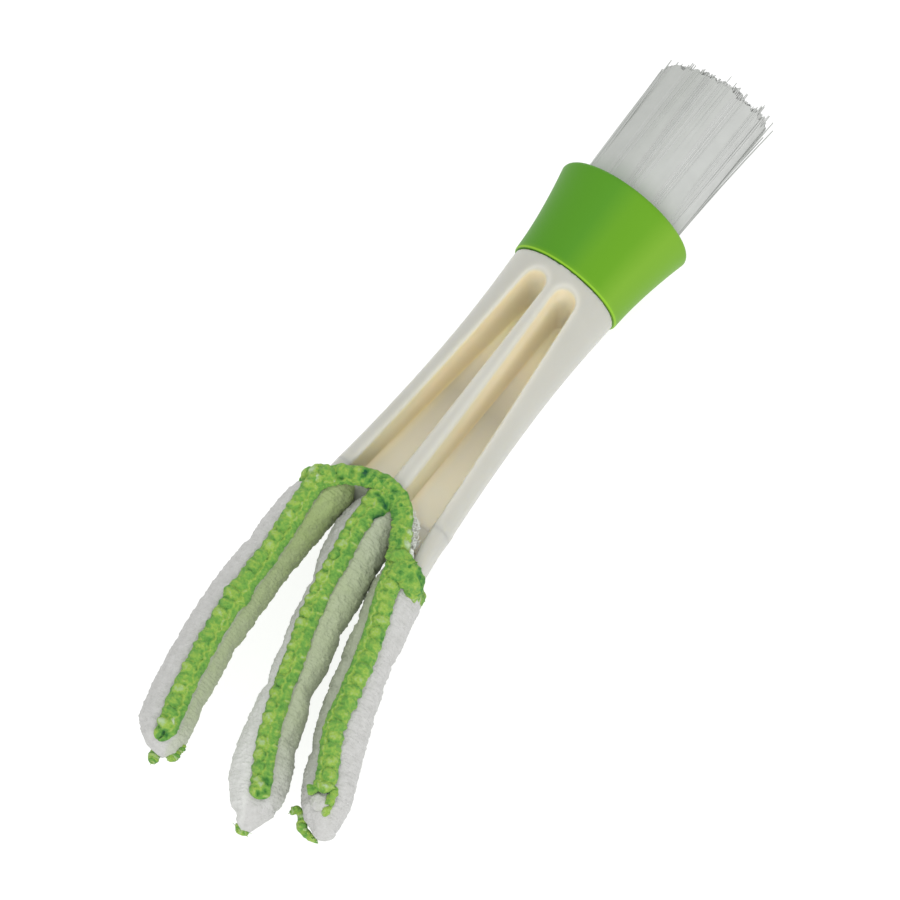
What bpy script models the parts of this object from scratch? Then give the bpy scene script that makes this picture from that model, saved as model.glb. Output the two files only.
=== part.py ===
"""Vent cleaning brush: a round bristle head, a cored handle and three cloth covered fingers.

The tool lies on its back. Its slotted front faces +Z and its bristles point along +Y. The
model is built from the collar's lower edge, and then stands with the middle of its base at
the origin.
"""
import math
import random

import bmesh
import bpy
from mathutils import Vector

# Clearances
FIT_GAP = 0.0003
FLEX_GAP = 0.0005
CUT_OVERRUN = 0.004

# Handle moulding
NECK_RADIUS = 0.0121
WAIST_HALF_WIDTH = 0.01145
WAIST_DROP = 0.018
MOUTH_HALF_WIDTH = 0.0138
MOUTH_HALF_DEPTH = 0.0054
HANDLE_LENGTH = 0.0565
SPIGOT_RADIUS = 0.0108
SPIGOT_LENGTH = 0.007
FLARE_POWER_SHARE = 1.75
FLATTEN_POWER_SHARE = 1.6
NECK_SQUARENESS_SHARE = 2.0
MOUTH_SQUARENESS_SHARE = 3.4
HANDLE_SIDES = 32
HANDLE_RINGS = 13

# Slots cored into the handle's front
SLOT_TOP = 0.0024
RIB_HALF_WIDTH_NECK = 0.0009
RIB_HALF_WIDTH_MOUTH = 0.0011
SLOT_OUTER_NECK = 0.0058
SLOT_OUTER_MOUTH = 0.0108
SLOT_DRAFT = 0.0011
BACK_WALL_NECK = 0.0042
BACK_WALL_MOUTH = 0.0026
CROTCH_DEPTH = 0.002
SLOT_END_SEGMENTS = 8

# Collar
COLLAR_LENGTH = 0.0205
COLLAR_FOOT_RADIUS = 0.01255
COLLAR_RIM_RADIUS = 0.0154
COLLAR_RIM_ROUND = 0.0009
COLLAR_FOOT_ROUND = 0.0004
COLLAR_RIM_FLAT = 0.0011
COLLAR_FLARE_SHARE = 1.6
COLLAR_SIDES = 40
COLLAR_STEPS = 7
ROUND_STEPS = 3

# Brush head
BLOCK_RADIUS = 0.0116
BLOCK_THICKNESS = 0.007
HOLE_RADIUS = 0.00195
HOLE_SIDES = 12
RING_PITCH = 0.0045
RING_PITCH_AT_TIP = 0.00475
SLICE_THICKNESS = 0.0035
BRISTLE_LENGTH = 0.0372
BRISTLE_TIP_DOME = 0.0016
BRISTLE_TIP_SPREAD = 0.0024
BRISTLE_TIP_RAGGED = 0.0007
BRISTLE_EDGE = 0.00018
TUFTS_IN_RING = (1, 6, 12)
TUFT_ROWS = 2
RAGGED_SEED = 7

# Finger blades
BLADE_HALF_THICK_ROOT = 0.0014
BLADE_HALF_THICK_TIP = 0.0009
BLADE_HALF_DEPTH_TIP = 0.0042
BLADE_ROOT_ROUND = 0.0007
BLADE_SQUARENESS_SHARE = 5.0
BLADE_SIDES = 16
BLADE_STATIONS = 9

# Cloth on each finger
CLOTH_HALF_DEPTH = 0.0062
CLOTH_OVER_TIP = 0.0036
CLOTH_SHOULDER = 0.005
CLOTH_ROUND = 0.006
CLOTH_NECK_SHARE = 0.62
CLOTH_SQUARENESS_SHARE = 2.6
CLOTH_SIDES = 20
CLOTH_STATIONS = 12

# Overlocked thread
THREAD_HALF_WIDTH = 0.0021
THREAD_HALF_RISE = 0.0011
THREAD_SIDES = 8
SEAM_SHORT_OF_TIP = 0.007
SEAM_STATIONS = 10
HEM_STATIONS = 9
HEM_DROP = 0.0045
TAIL_LENGTH = 0.0028
TAIL_RADIUS = 0.0009
TAIL_SIDES = 8

# Cloth in the crotches
CROTCH_CLOTH_THICKNESS = 0.0022
CROTCH_CLOTH_ROUND = 0.0006

# Each finger: place of its root across the handle, heading and bend of its centre line, length
# of the covered finger, half thickness with its cloth, where its cloth starts, how long the
# cloth's narrow neck is, and where its seam starts
FINGERS = {
    "left": {
        "root_x": -0.0124, "heading": math.radians(-4.0), "bend_radius": 0.189,
        "length": 0.066, "half_thick": 0.0050,
        "cloth_start": 0.0058, "neck": 0.0, "seam_start": 0.0052,
    },
    "middle": {
        "root_x": 0.0003, "heading": math.radians(3.0), "bend_radius": 0.176,
        "length": 0.0705, "half_thick": 0.0049,
        "cloth_start": 0.0012, "neck": 0.0, "seam_start": 0.0030,
    },
    "right": {
        "root_x": 0.0126, "heading": math.radians(2.0), "bend_radius": 0.140,
        "length": 0.0635, "half_thick": 0.0047,
        "cloth_start": 0.0084, "neck": 0.0048, "seam_start": 0.0118,
    },
}

# Front half of each hem as chosen points: shares across, outward and along
ARCH_SHARES = ((-0.587, 0.28), (-0.4, 0.08), (-0.2, 0.0), (0.0, 0.12), (0.19, 0.5), (0.325, 1.02))
HEM_LEFT_HALF_WIDTH = 0.0028
HEM_LEFT_DROP = 0.0033
HEM_LEFT_SHARES = ((1.36, 1.0, -0.24), (0.5, 1.0, 0.12), (-0.3, 0.99, 0.35), (-0.85, 0.72, 0.75),
                   (-1.0, 0.0, 1.0))
HEM_RIGHT_HALF_WIDTH = 0.0047
HEM_RIGHT_DROP = 0.0108
HEM_RIGHT_SHARES = ((-1.67, 1.0, 0.23), (-1.25, 1.0, 0.5), (-0.7, 1.0, 0.74), (0.1, 1.0, 0.84),
                    (0.8, 0.82, 0.9), (1.0, 0.0, 1.0))

ALONG = Vector((0.0, 1.0, 0.0))
UP = Vector((0.0, 0.0, 1.0))


def clear_scene():
    for old in list(bpy.data.objects):
        bpy.data.objects.remove(old, do_unlink=True)


def material(name, colour, roughness, metallic=0.0):
    made = bpy.data.materials.new(name)
    made.use_nodes = True
    shader = made.node_tree.nodes["Principled BSDF"]
    shader.inputs["Base Color"].default_value = (*colour, 1.0)
    shader.inputs["Roughness"].default_value = roughness
    shader.inputs["Metallic"].default_value = metallic
    return made


def empty(name, parent=None, location=(0.0, 0.0, 0.0), turn=0.0):
    made = bpy.data.objects.new(name, None)
    bpy.context.collection.objects.link(made)
    made.parent = parent
    made.location = location
    made.rotation_euler = (0.0, 0.0, turn)
    return made


def add_part(name, shape, finish, parent):
    bmesh.ops.recalc_face_normals(shape, faces=shape.faces)
    mesh = bpy.data.meshes.new(name)
    shape.to_mesh(mesh)
    shape.free()
    mesh.materials.append(finish)
    mesh.shade_smooth()
    mesh.set_sharp_from_angle(angle=math.radians(40.0))
    made = bpy.data.objects.new(name, mesh)
    bpy.context.collection.objects.link(made)
    made.parent = parent
    return made


def cut(target, cutter):
    cutter.hide_render = True
    cutter.display_type = "WIRE"
    boolean = target.modifiers.new("cut_" + cutter.name, "BOOLEAN")
    boolean.operation = "DIFFERENCE"
    boolean.solver = "EXACT"
    boolean.object = cutter


def mix(start, end, share):
    return start + (end - start) * share


def oval(half_across, half_up, squareness, sides):
    """Points of a rounded section, from a circle to nearly a rectangle."""
    points = []
    for step in range(sides):
        angle = math.tau * step / sides
        across, up = math.cos(angle), math.sin(angle)
        reach = (abs(across) ** squareness + abs(up) ** squareness) ** (-1.0 / squareness)
        points.append((half_across * reach * across, half_up * reach * up))
    return points


def loft(rings):
    """Closed body through rings of equally many points."""
    shape = bmesh.new()
    rows = [[shape.verts.new(point) for point in ring] for ring in rings]
    for low, high in zip(rows, rows[1:]):
        for step in range(len(low)):
            after = (step + 1) % len(low)
            shape.faces.new((low[step], low[after], high[after], high[step]))
    shape.faces.new(rows[0])
    shape.faces.new(rows[-1])
    return shape


def turned(profile, sides):
    """Closed profile of (radius, along) points, turned about the tool's axis."""
    shape = bmesh.new()
    rows = []
    for radius, along in profile:
        rows.append([
            shape.verts.new((radius * math.cos(math.tau * step / sides), along,
                             radius * math.sin(math.tau * step / sides)))
            for step in range(sides)
        ])
    for row, following in zip(rows, rows[1:] + rows[:1]):
        for step in range(sides):
            after = (step + 1) % sides
            shape.faces.new((row[step], row[after], following[after], following[step]))
    return shape


def handle_half_width(drop):
    if drop < WAIST_DROP:
        ease = math.sin(math.pi / 2 * drop / WAIST_DROP)
        return mix(NECK_RADIUS, WAIST_HALF_WIDTH, ease)
    flare = (drop - WAIST_DROP) / (HANDLE_LENGTH - WAIST_DROP)
    return mix(WAIST_HALF_WIDTH, MOUTH_HALF_WIDTH, flare ** FLARE_POWER_SHARE)


def handle_half_depth(drop):
    left = max(0.0, 1.0 - drop / HANDLE_LENGTH)
    return mix(MOUTH_HALF_DEPTH, NECK_RADIUS, left ** FLATTEN_POWER_SHARE)


def handle_ring(drop):
    squareness = mix(NECK_SQUARENESS_SHARE, MOUTH_SQUARENESS_SHARE, drop / HANDLE_LENGTH)
    section = oval(handle_half_width(drop), handle_half_depth(drop), squareness, HANDLE_SIDES)
    return [(across, -drop, up) for across, up in section]


def slot_outline(side, inset, low_end):
    """Plan of one slot, from its open end up the rib, round the top and down the outer edge."""
    def inner(drop):
        return mix(RIB_HALF_WIDTH_NECK, RIB_HALF_WIDTH_MOUTH, drop / HANDLE_LENGTH) + inset

    def outer(drop):
        return mix(SLOT_OUTER_NECK, SLOT_OUTER_MOUTH, drop / HANDLE_LENGTH) - inset

    end_radius = (outer(SLOT_TOP) - inner(SLOT_TOP)) / 2
    turn_drop = SLOT_TOP + inset + end_radius
    middle = (outer(turn_drop) + inner(turn_drop)) / 2
    half = (outer(turn_drop) - inner(turn_drop)) / 2
    points = [(side * inner(low_end), -low_end)]
    for step in range(SLOT_END_SEGMENTS + 1):
        angle = math.pi * (1.0 - step / SLOT_END_SEGMENTS)
        across = middle + half * math.cos(angle)
        points.append((side * across, -turn_drop + end_radius * math.sin(angle)))
    points.append((side * outer(low_end), -low_end))
    return points


def slot_floor(drop):
    neck = BACK_WALL_NECK - NECK_RADIUS
    mouth = BACK_WALL_MOUTH - MOUTH_HALF_DEPTH
    return mix(neck, mouth, drop / HANDLE_LENGTH)


def make_handle(parent, finish):
    rings = [[(x, SPIGOT_LENGTH, z) for x, z in oval(SPIGOT_RADIUS, SPIGOT_RADIUS, 2.0, HANDLE_SIDES)]]
    rings.append([(x, 0.0, z) for x, z in oval(SPIGOT_RADIUS, SPIGOT_RADIUS, 2.0, HANDLE_SIDES)])
    for ring in range(HANDLE_RINGS):
        rings.append(handle_ring(HANDLE_LENGTH * ring / (HANDLE_RINGS - 1)))
    handle = add_part("handle", loft(rings), finish, parent)

    low_end = HANDLE_LENGTH + CUT_OVERRUN
    clear_height = NECK_RADIUS + CUT_OVERRUN
    crotch = HANDLE_LENGTH - CROTCH_DEPTH
    for side, label in ((-1, "left"), (1, "right")):
        floor = [(x, y, slot_floor(-y)) for x, y in slot_outline(side, SLOT_DRAFT, low_end)]
        top = [(x, y, clear_height) for x, y in slot_outline(side, 0.0, low_end)]
        cut(handle, add_part("slot_cutter_" + label, loft([floor, top]), finish, parent))
        plan = slot_outline(side, SLOT_DRAFT, low_end)
        inner, outer = plan[0][0], plan[-1][0]
        base = [(inner, -low_end), (inner, -crotch), (outer, -crotch), (outer, -low_end)]
        low = [(x, y, -clear_height) for x, y in base]
        high = [(x, y, clear_height) for x, y in base]
        cut(handle, add_part("crotch_cutter_" + label, loft([low, high]), finish, parent))


def collar_radius(along):
    flare = max(0.0, along / (COLLAR_LENGTH - COLLAR_RIM_ROUND)) ** COLLAR_FLARE_SHARE
    return mix(COLLAR_FOOT_RADIUS, COLLAR_RIM_RADIUS, flare)


def make_collar(parent, finish):
    seat = SPIGOT_RADIUS + FIT_GAP
    bore = BLOCK_RADIUS + FIT_GAP
    rim_inner = COLLAR_RIM_RADIUS - COLLAR_RIM_ROUND - COLLAR_RIM_FLAT
    profile = [(seat, FIT_GAP)]
    for step in range(ROUND_STEPS + 1):
        angle = math.pi / 2 * step / ROUND_STEPS
        profile.append((COLLAR_FOOT_RADIUS - COLLAR_FOOT_ROUND * (1.0 - math.sin(angle)),
                        FIT_GAP + COLLAR_FOOT_ROUND * (1.0 - math.cos(angle))))
    for step in range(1, COLLAR_STEPS + 1):
        along = mix(COLLAR_FOOT_ROUND, COLLAR_LENGTH - COLLAR_RIM_ROUND, step / COLLAR_STEPS)
        profile.append((collar_radius(along), along))
    for step in range(1, ROUND_STEPS + 1):
        angle = math.pi / 2 * step / ROUND_STEPS
        profile.append((COLLAR_RIM_RADIUS - COLLAR_RIM_ROUND * (1.0 - math.cos(angle)),
                        COLLAR_LENGTH - COLLAR_RIM_ROUND * (1.0 - math.sin(angle))))
    block_top = block_foot() + BLOCK_THICKNESS
    profile.append((rim_inner, COLLAR_LENGTH))
    profile.append((bore, block_top + FIT_GAP))
    profile.append((bore, SPIGOT_LENGTH))
    profile.append((seat, SPIGOT_LENGTH))
    add_part("collar", turned(profile, COLLAR_SIDES), finish, parent)


def block_foot():
    return SPIGOT_LENGTH + FIT_GAP


def hole_depth():
    return SLICE_THICKNESS + FIT_GAP


def tuft_places():
    """Name, hole centre and spread centre at the tips of every tuft."""
    names = ("tuft_centre", "tuft_inner", "tuft_outer")
    for ring, count in enumerate(TUFTS_IN_RING):
        for place in range(count):
            angle = math.tau * (place + ring / 2) / count
            direction = Vector((math.cos(angle), 0.0, math.sin(angle)))
            name = names[ring] if count == 1 else names[ring] + "_" + str(place + 1)
            yield name, direction * RING_PITCH * ring, direction * RING_PITCH_AT_TIP * ring


def add_prism(shape, centre, corners, foot, top):
    """Upright prism along the tool, added to a cutter."""
    ends = []
    for along in (foot, top):
        ends.append([shape.verts.new((centre.x + x, along, centre.z + z)) for x, z in corners])
    for step in range(len(corners)):
        after = (step + 1) % len(corners)
        shape.faces.new((ends[0][step], ends[0][after], ends[1][after], ends[1][step]))
    shape.faces.new(ends[0])
    shape.faces.new(ends[1])


def make_brush_block(parent, finish):
    foot = block_foot()
    top = foot + BLOCK_THICKNESS
    disc = oval(BLOCK_RADIUS, BLOCK_RADIUS, 2.0, COLLAR_SIDES)
    rings = [[(x, along, z) for x, z in disc] for along in (foot, top)]
    block = add_part("brush_block", loft(rings), finish, parent)
    holes = bmesh.new()
    corners = oval(HOLE_RADIUS, HOLE_RADIUS, 2.0, HOLE_SIDES)
    for _, centre, _ in tuft_places():
        add_prism(holes, centre, corners, top - hole_depth(), top + CUT_OVERRUN)
    cut(block, add_part("hole_cutter", holes, finish, parent))


def tuft_lattice(corner_radius):
    """Rows of points of a hexagon cut into equal triangles."""
    pitch = corner_radius / TUFT_ROWS
    places = {}
    for row in range(-TUFT_ROWS, TUFT_ROWS + 1):
        for column in range(-TUFT_ROWS, TUFT_ROWS + 1):
            if abs(row + column) <= TUFT_ROWS:
                places[row, column] = (pitch * (column + row / 2), pitch * row * math.sqrt(3.0) / 2)
    return places


def make_tuft(name, centre, tip_centre, parent, finish, chance):
    top = block_foot() + BLOCK_THICKNESS
    corner_radius = HOLE_RADIUS * math.cos(math.pi / HOLE_SIDES) - FIT_GAP
    spread = BRISTLE_TIP_SPREAD / corner_radius
    shape = bmesh.new()
    verts = {}
    for key, (x, z) in tuft_lattice(corner_radius).items():
        verts[key] = shape.verts.new((centre.x + x, top, centre.z + z))
    lattice = []
    for row, column in verts:
        for second, third in (((row, column + 1), (row + 1, column)),
                              ((row + 1, column - 1), (row + 1, column))):
            if second in verts and third in verts:
                lattice.append(shape.faces.new((verts[row, column], verts[second], verts[third])))

    edge = [edge for edge in shape.edges if len(edge.link_faces) == 1]
    below = {}
    for vert in {vert for pair in edge for vert in pair.verts}:
        below[vert] = shape.verts.new((vert.co.x, top - SLICE_THICKNESS, vert.co.z))
    for pair in edge:
        first, second = pair.verts
        shape.faces.new((first, second, below[second], below[first]))
    shape.faces.new(sorted(below.values(), key=lambda vert: math.atan2(vert.co.z - centre.z,
                                                                       vert.co.x - centre.x)))

    bmesh.ops.recalc_face_normals(shape, faces=shape.faces)
    bmesh.ops.inset_individual(shape, faces=lattice, thickness=BRISTLE_EDGE)
    strands = bmesh.ops.extrude_discrete_faces(shape, faces=lattice)["faces"]
    reach = RING_PITCH_AT_TIP * (len(TUFTS_IN_RING) - 1) + BRISTLE_TIP_SPREAD
    for strand in strands:
        middle = strand.calc_center_median()
        root = Vector((middle.x - centre.x, 0.0, middle.z - centre.z))
        tip = tip_centre + root * spread
        dome = BRISTLE_TIP_DOME * (tip.length / reach) ** 2
        length = BRISTLE_LENGTH - dome + BRISTLE_TIP_RAGGED * chance.uniform(-1.0, 1.0)
        move = tip - Vector((middle.x, 0.0, middle.z)) + ALONG * length
        for vert in strand.verts:
            vert.co += move
    add_part(name, shape, finish, parent)


def bent(spec, reach, across=0.0, up=0.0):
    """Point beside a finger's centre line, in the frame of its root."""
    angle = reach / spec["bend_radius"]
    centre = Vector((1.0 - math.cos(angle), -math.sin(angle), 0.0)) * spec["bend_radius"]
    side = Vector((math.cos(angle), math.sin(angle), 0.0))
    return centre + side * across + UP * up


def bent_ring(spec, reach, half_thick, half_depth, squareness, sides):
    section = oval(half_thick, half_depth, squareness, sides)
    return [bent(spec, reach, across, up) for across, up in section]


def blade_length(spec):
    return spec["length"] - CLOTH_OVER_TIP


def blade_rings(spec, clearance, start):
    """Sections of a blade, or of the pocket round it, from its root to its tip."""
    length = blade_length(spec)
    rings = []
    for station in range(BLADE_STATIONS):
        share = station / (BLADE_STATIONS - 1)
        reach = start if station == 0 else length * share
        if station == BLADE_STATIONS - 1:
            reach += clearance
        half_thick = mix(BLADE_HALF_THICK_ROOT, BLADE_HALF_THICK_TIP, share) + clearance
        half_depth = mix(MOUTH_HALF_DEPTH, BLADE_HALF_DEPTH_TIP, share) + clearance
        rings.append(bent_ring(spec, reach, half_thick, half_depth, BLADE_SQUARENESS_SHARE, BLADE_SIDES))
    return rings


def make_blade(side, spec, parent, finish):
    rings = blade_rings(spec, 0.0, BLADE_ROOT_ROUND)
    root = bent_ring(spec, 0.0, BLADE_HALF_THICK_ROOT - BLADE_ROOT_ROUND, MOUTH_HALF_DEPTH,
                     BLADE_SQUARENESS_SHARE, BLADE_SIDES)
    add_part("finger_blade_" + side, loft([root] + rings), finish, parent)


def make_finger_cloth(side, spec, parent, finish):
    """Tube of cloth, closed at the tip, with the blade's pocket in it."""
    rings = []
    start, end = spec["cloth_start"], spec["length"]
    shoulder_start = start + spec["neck"]
    round_start = end - CLOTH_ROUND
    stations = [start] if spec["neck"] else []
    stations += [shoulder_start, shoulder_start + CLOTH_SHOULDER / 2]
    for station in range(CLOTH_STATIONS):
        stations.append(mix(shoulder_start + CLOTH_SHOULDER, round_start, station / (CLOTH_STATIONS - 1)))
    for reach in stations:
        shoulder = min(1.0, max(0.0, (reach - shoulder_start) / CLOTH_SHOULDER))
        fullness = mix(CLOTH_NECK_SHARE, 1.0, math.sin(shoulder * math.pi / 2))
        rings.append(bent_ring(spec, reach, spec["half_thick"] * fullness, CLOTH_HALF_DEPTH,
                               CLOTH_SQUARENESS_SHARE, CLOTH_SIDES))
    for step in range(1, ROUND_STEPS + 1):
        angle = math.pi / 2 * step / (ROUND_STEPS + 0.5)
        rings.append(bent_ring(spec, round_start + CLOTH_ROUND * math.sin(angle),
                               spec["half_thick"] * math.cos(angle), CLOTH_HALF_DEPTH * math.cos(angle),
                               CLOTH_SQUARENESS_SHARE, CLOTH_SIDES))
    cloth = add_part("finger_cloth_" + side, loft(rings), finish, parent)
    pocket = blade_rings(spec, FIT_GAP, spec["cloth_start"] - CUT_OVERRUN)
    first = next(index for index, ring in enumerate(pocket) if index and blade_length(spec) * index
                 / (BLADE_STATIONS - 1) > spec["cloth_start"])
    cut(cloth, add_part("pocket_cutter_" + side, loft([pocket[0]] + pocket[first:]), finish, parent))


def ribbon(path, outward):
    """Thick thread along a path: an oval that stands on the side that faces outward."""
    rings = []
    for place, point in enumerate(path):
        before = path[max(0, place - 1)]
        after = path[min(len(path) - 1, place + 1)]
        tangent = (after - before).normalized()
        rise = (outward[place] - tangent * outward[place].dot(tangent)).normalized()
        width = tangent.cross(rise)
        section = oval(THREAD_HALF_WIDTH, THREAD_HALF_RISE, 2.0, THREAD_SIDES)
        rings.append([point + width * across + rise * up for across, up in section])
    return loft(rings)


def smooth_path(points, stations):
    """Even run through chosen points, rounded at each of them."""
    ends = [points[0] * 2 - points[1]] + list(points) + [points[-1] * 2 - points[-2]]
    path = []
    for station in range(stations):
        place = (len(points) - 1) * station / (stations - 1)
        first = min(int(place), len(points) - 2)
        share = place - first
        back, low, high, ahead = ends[first:first + 4]
        path.append((low * 2 + (high - back) * share
                     + (back * 2 - low * 5 + high * 4 - ahead) * share ** 2
                     + (low * 3 - back - high * 3 + ahead) * share ** 3) / 2)
    return path


def thread_height(surface):
    return surface + FIT_GAP + THREAD_HALF_RISE


def make_seams(side, spec, parent, finish):
    end = spec["length"] - SEAM_SHORT_OF_TIP
    for label, facing in (("front", 1.0), ("back", -1.0)):
        path = []
        for station in range(SEAM_STATIONS):
            reach = mix(spec["seam_start"], end, station / (SEAM_STATIONS - 1))
            path.append(bent(spec, reach, 0.0, facing * thread_height(CLOTH_HALF_DEPTH)))
        outward = [UP * facing] * SEAM_STATIONS
        add_part(label + "_seam_" + side, ribbon(path, outward), finish, parent)


def make_thread_tail(side, spec, parent, finish):
    """Loose end of the seam's thread past the finger's tip."""
    rings = []
    start = spec["length"] + FIT_GAP
    for share, width_share in ((0.0, 1.0), (0.5, 0.9), (1.0, 0.45)):
        radius = TAIL_RADIUS * width_share
        rings.append(bent_ring(spec, start + TAIL_LENGTH * share, radius, radius, 2.0, TAIL_SIDES))
    add_part("thread_tail_" + side, loft(rings), finish, parent)


def make_hem_arches(parent, finish):
    """Thread over the crotches, on the handle's front and back."""
    top = -(HANDLE_LENGTH - CROTCH_DEPTH)
    for label, facing in (("front", 1.0), ("back", -1.0)):
        height = facing * thread_height(MOUTH_HALF_DEPTH)
        points = [Vector((MOUTH_HALF_WIDTH * x, top - HEM_DROP * y, height)) for x, y in ARCH_SHARES]
        path = smooth_path(points, HEM_STATIONS)
        add_part("hem_" + label, ribbon(path, [UP * facing] * HEM_STATIONS), finish, parent)


def make_side_hem(side, spec, parent, finish, half_width, half_depth, drop, shares):
    """Thread of the sleeve's mouth round the outer side of a finger's root."""
    outer = math.copysign(1.0, spec["root_x"])
    whole = list(shares) + [(x, -z, along) for x, z, along in reversed(shares[:-1])]
    points = [bent(spec, drop * along, half_width * x, half_depth * z) for x, z, along in whole]
    stations = 2 * HEM_STATIONS - 1
    path = smooth_path(points, stations)
    outward = []
    for place, point in enumerate(path):
        share = (len(whole) - 1) * place / (stations - 1)
        first = min(int(share), len(whole) - 2)
        x = mix(whole[first][0], whole[first + 1][0], share - first)
        z = mix(whole[first][1], whole[first + 1][1], share - first)
        across = max(0.0, x * outer) * outer
        outward.append(Vector((across / half_width, 0.0, z / half_depth)) * half_width)
    add_part("hem_" + side, ribbon(path, outward), finish, parent)


def make_crotch_cloth(parent, finish):
    """Cloth folded round the end of the web between two ribs."""
    crotch = HANDLE_LENGTH - CROTCH_DEPTH
    top = -crotch - FIT_GAP
    for side, label in ((-1, "left"), (1, "right")):
        plan = slot_outline(side, SLOT_DRAFT, crotch)
        inner = abs(plan[0][0]) + FIT_GAP
        outer = abs(plan[-1][0]) - FIT_GAP
        half_width = (outer - inner) / 2
        middle = side * (outer + inner) / 2
        half_height = CROTCH_CLOTH_THICKNESS / 2
        half_depth = MOUTH_HALF_DEPTH - FIT_GAP
        corners = ((-half_width, -half_height), (half_width, -half_height),
                   (half_width, half_height), (-half_width, half_height))
        rings = []
        for z in (-half_depth, half_depth):
            rings.append([(middle + x, top - half_height + y, z) for x, y in corners])
        pad = add_part("crotch_cloth_" + label, loft(rings), finish, parent)
        bevel = pad.modifiers.new("soft_edges", "BEVEL")
        bevel.width = CROTCH_CLOTH_ROUND
        bevel.segments = 2


def stand_on_base(frame):
    """Move the frame so that the middle of the tool's base is at the origin."""
    bpy.context.view_layer.update()
    graph = bpy.context.evaluated_depsgraph_get()
    corners = []
    for part in bpy.data.objects:
        if part.type == "MESH" and not part.hide_render:
            solid = part.evaluated_get(graph)
            corners += [solid.matrix_world @ vert.co for vert in solid.data.vertices]
    low = Vector([min(corner[axis] for corner in corners) for axis in range(3)])
    high = Vector([max(corner[axis] for corner in corners) for axis in range(3)])
    frame.location = (-(low.x + high.x) / 2, -(low.y + high.y) / 2, -low.z)


def build():
    clear_scene()
    plastic = material("ivory_plastic", (0.80, 0.78, 0.68), 0.38)
    green = material("green_plastic", (0.16, 0.42, 0.03), 0.32)
    nylon = material("white_nylon", (0.82, 0.84, 0.83), 0.35)
    cloth = material("white_terry", (0.76, 0.76, 0.72), 0.95)
    thread = material("green_thread", (0.30, 0.62, 0.07), 0.85)

    frame = empty("brush_frame")
    make_handle(frame, plastic)
    make_collar(frame, green)
    make_brush_block(frame, plastic)
    chance = random.Random(RAGGED_SEED)
    for name, centre, tip_centre in tuft_places():
        make_tuft(name, centre, tip_centre, frame, nylon, chance)
    make_hem_arches(frame, thread)
    make_crotch_cloth(frame, cloth)

    for side, spec in FINGERS.items():
        root = (spec["root_x"], -(HANDLE_LENGTH + FLEX_GAP), 0.0)
        hinge = empty("finger_hinge_" + side, frame, root, spec["heading"])
        make_blade(side, spec, hinge, plastic)
        make_finger_cloth(side, spec, hinge, cloth)
        make_seams(side, spec, hinge, thread)
        make_thread_tail(side, spec, hinge, thread)
        if side == "left":
            half_depth = thread_height(MOUTH_HALF_DEPTH)
            make_side_hem(side, spec, hinge, thread, HEM_LEFT_HALF_WIDTH, half_depth, HEM_LEFT_DROP,
                          HEM_LEFT_SHARES)
        if side == "right":
            half_depth = thread_height(CLOTH_HALF_DEPTH)
            make_side_hem(side, spec, hinge, thread, HEM_RIGHT_HALF_WIDTH, half_depth, HEM_RIGHT_DROP,
                          HEM_RIGHT_SHARES)
    stand_on_base(frame)


build()
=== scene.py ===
import math

import bmesh
import bpy
import numpy as np
from mathutils import Matrix, Vector


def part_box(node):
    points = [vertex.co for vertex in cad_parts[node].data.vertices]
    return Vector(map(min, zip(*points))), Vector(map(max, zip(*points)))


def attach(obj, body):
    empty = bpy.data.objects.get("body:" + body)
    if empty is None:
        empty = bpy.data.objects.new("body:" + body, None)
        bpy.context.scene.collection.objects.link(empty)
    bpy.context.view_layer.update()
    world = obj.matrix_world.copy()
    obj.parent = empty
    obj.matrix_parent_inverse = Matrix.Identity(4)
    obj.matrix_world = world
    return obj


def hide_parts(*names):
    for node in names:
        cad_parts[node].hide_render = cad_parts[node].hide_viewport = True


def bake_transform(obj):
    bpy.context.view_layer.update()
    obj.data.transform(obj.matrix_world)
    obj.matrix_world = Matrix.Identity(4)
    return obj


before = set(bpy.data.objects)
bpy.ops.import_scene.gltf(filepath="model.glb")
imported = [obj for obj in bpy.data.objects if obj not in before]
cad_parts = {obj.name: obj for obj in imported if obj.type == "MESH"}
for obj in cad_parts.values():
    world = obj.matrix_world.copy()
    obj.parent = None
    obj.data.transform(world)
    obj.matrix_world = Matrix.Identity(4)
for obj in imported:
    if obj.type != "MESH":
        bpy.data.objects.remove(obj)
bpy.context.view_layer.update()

# The view. The tool lies on its back on a pale floor, slotted front up, as it was photographed:
# from above, a little from its right and from its finger end, turned so that it lies aslant.
FIT_GAP = 0.0003
VIEW_FROM_RIGHT = math.radians(12.0)
VIEW_FROM_FINGERS = math.radians(13.5)
VIEW_ROLL = math.radians(39.0)
VIEW_DISTANCE = 0.75
VIEW_MIDDLE = Vector((0.0, -0.050, 0.0))
FOCAL_LENGTH = 153.6
SENSOR_WIDTH = 36.0
PICTURE_SHIFT = (0.0447, 0.0331)
CLIP_RANGE = (0.05, 20.0)

collar_low, collar_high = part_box("collar")
tool = Vector(((collar_low.x + collar_high.x) / 2, collar_low.y - FIT_GAP,
               (collar_low.z + collar_high.z) / 2))

across_view = Vector((math.cos(VIEW_FROM_RIGHT), 0.0, -math.sin(VIEW_FROM_RIGHT)))
facing = Vector((math.sin(VIEW_FROM_RIGHT), 0.0, math.cos(VIEW_FROM_RIGHT)))
along_tool = Vector((0.0, 1.0, 0.0))
to_camera = facing * math.cos(VIEW_FROM_FINGERS) - along_tool * math.sin(VIEW_FROM_FINGERS)
up_view = along_tool * math.cos(VIEW_FROM_FINGERS) + facing * math.sin(VIEW_FROM_FINGERS)
picture_right = up_view * math.sin(VIEW_ROLL) + across_view * math.cos(VIEW_ROLL)
picture_up = up_view * math.cos(VIEW_ROLL) - across_view * math.sin(VIEW_ROLL)


def placed(name, data):
    """Puts a new object with this data into the scene."""
    made = bpy.data.objects.new(name, data)
    bpy.context.scene.collection.objects.link(made)
    return made


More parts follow.
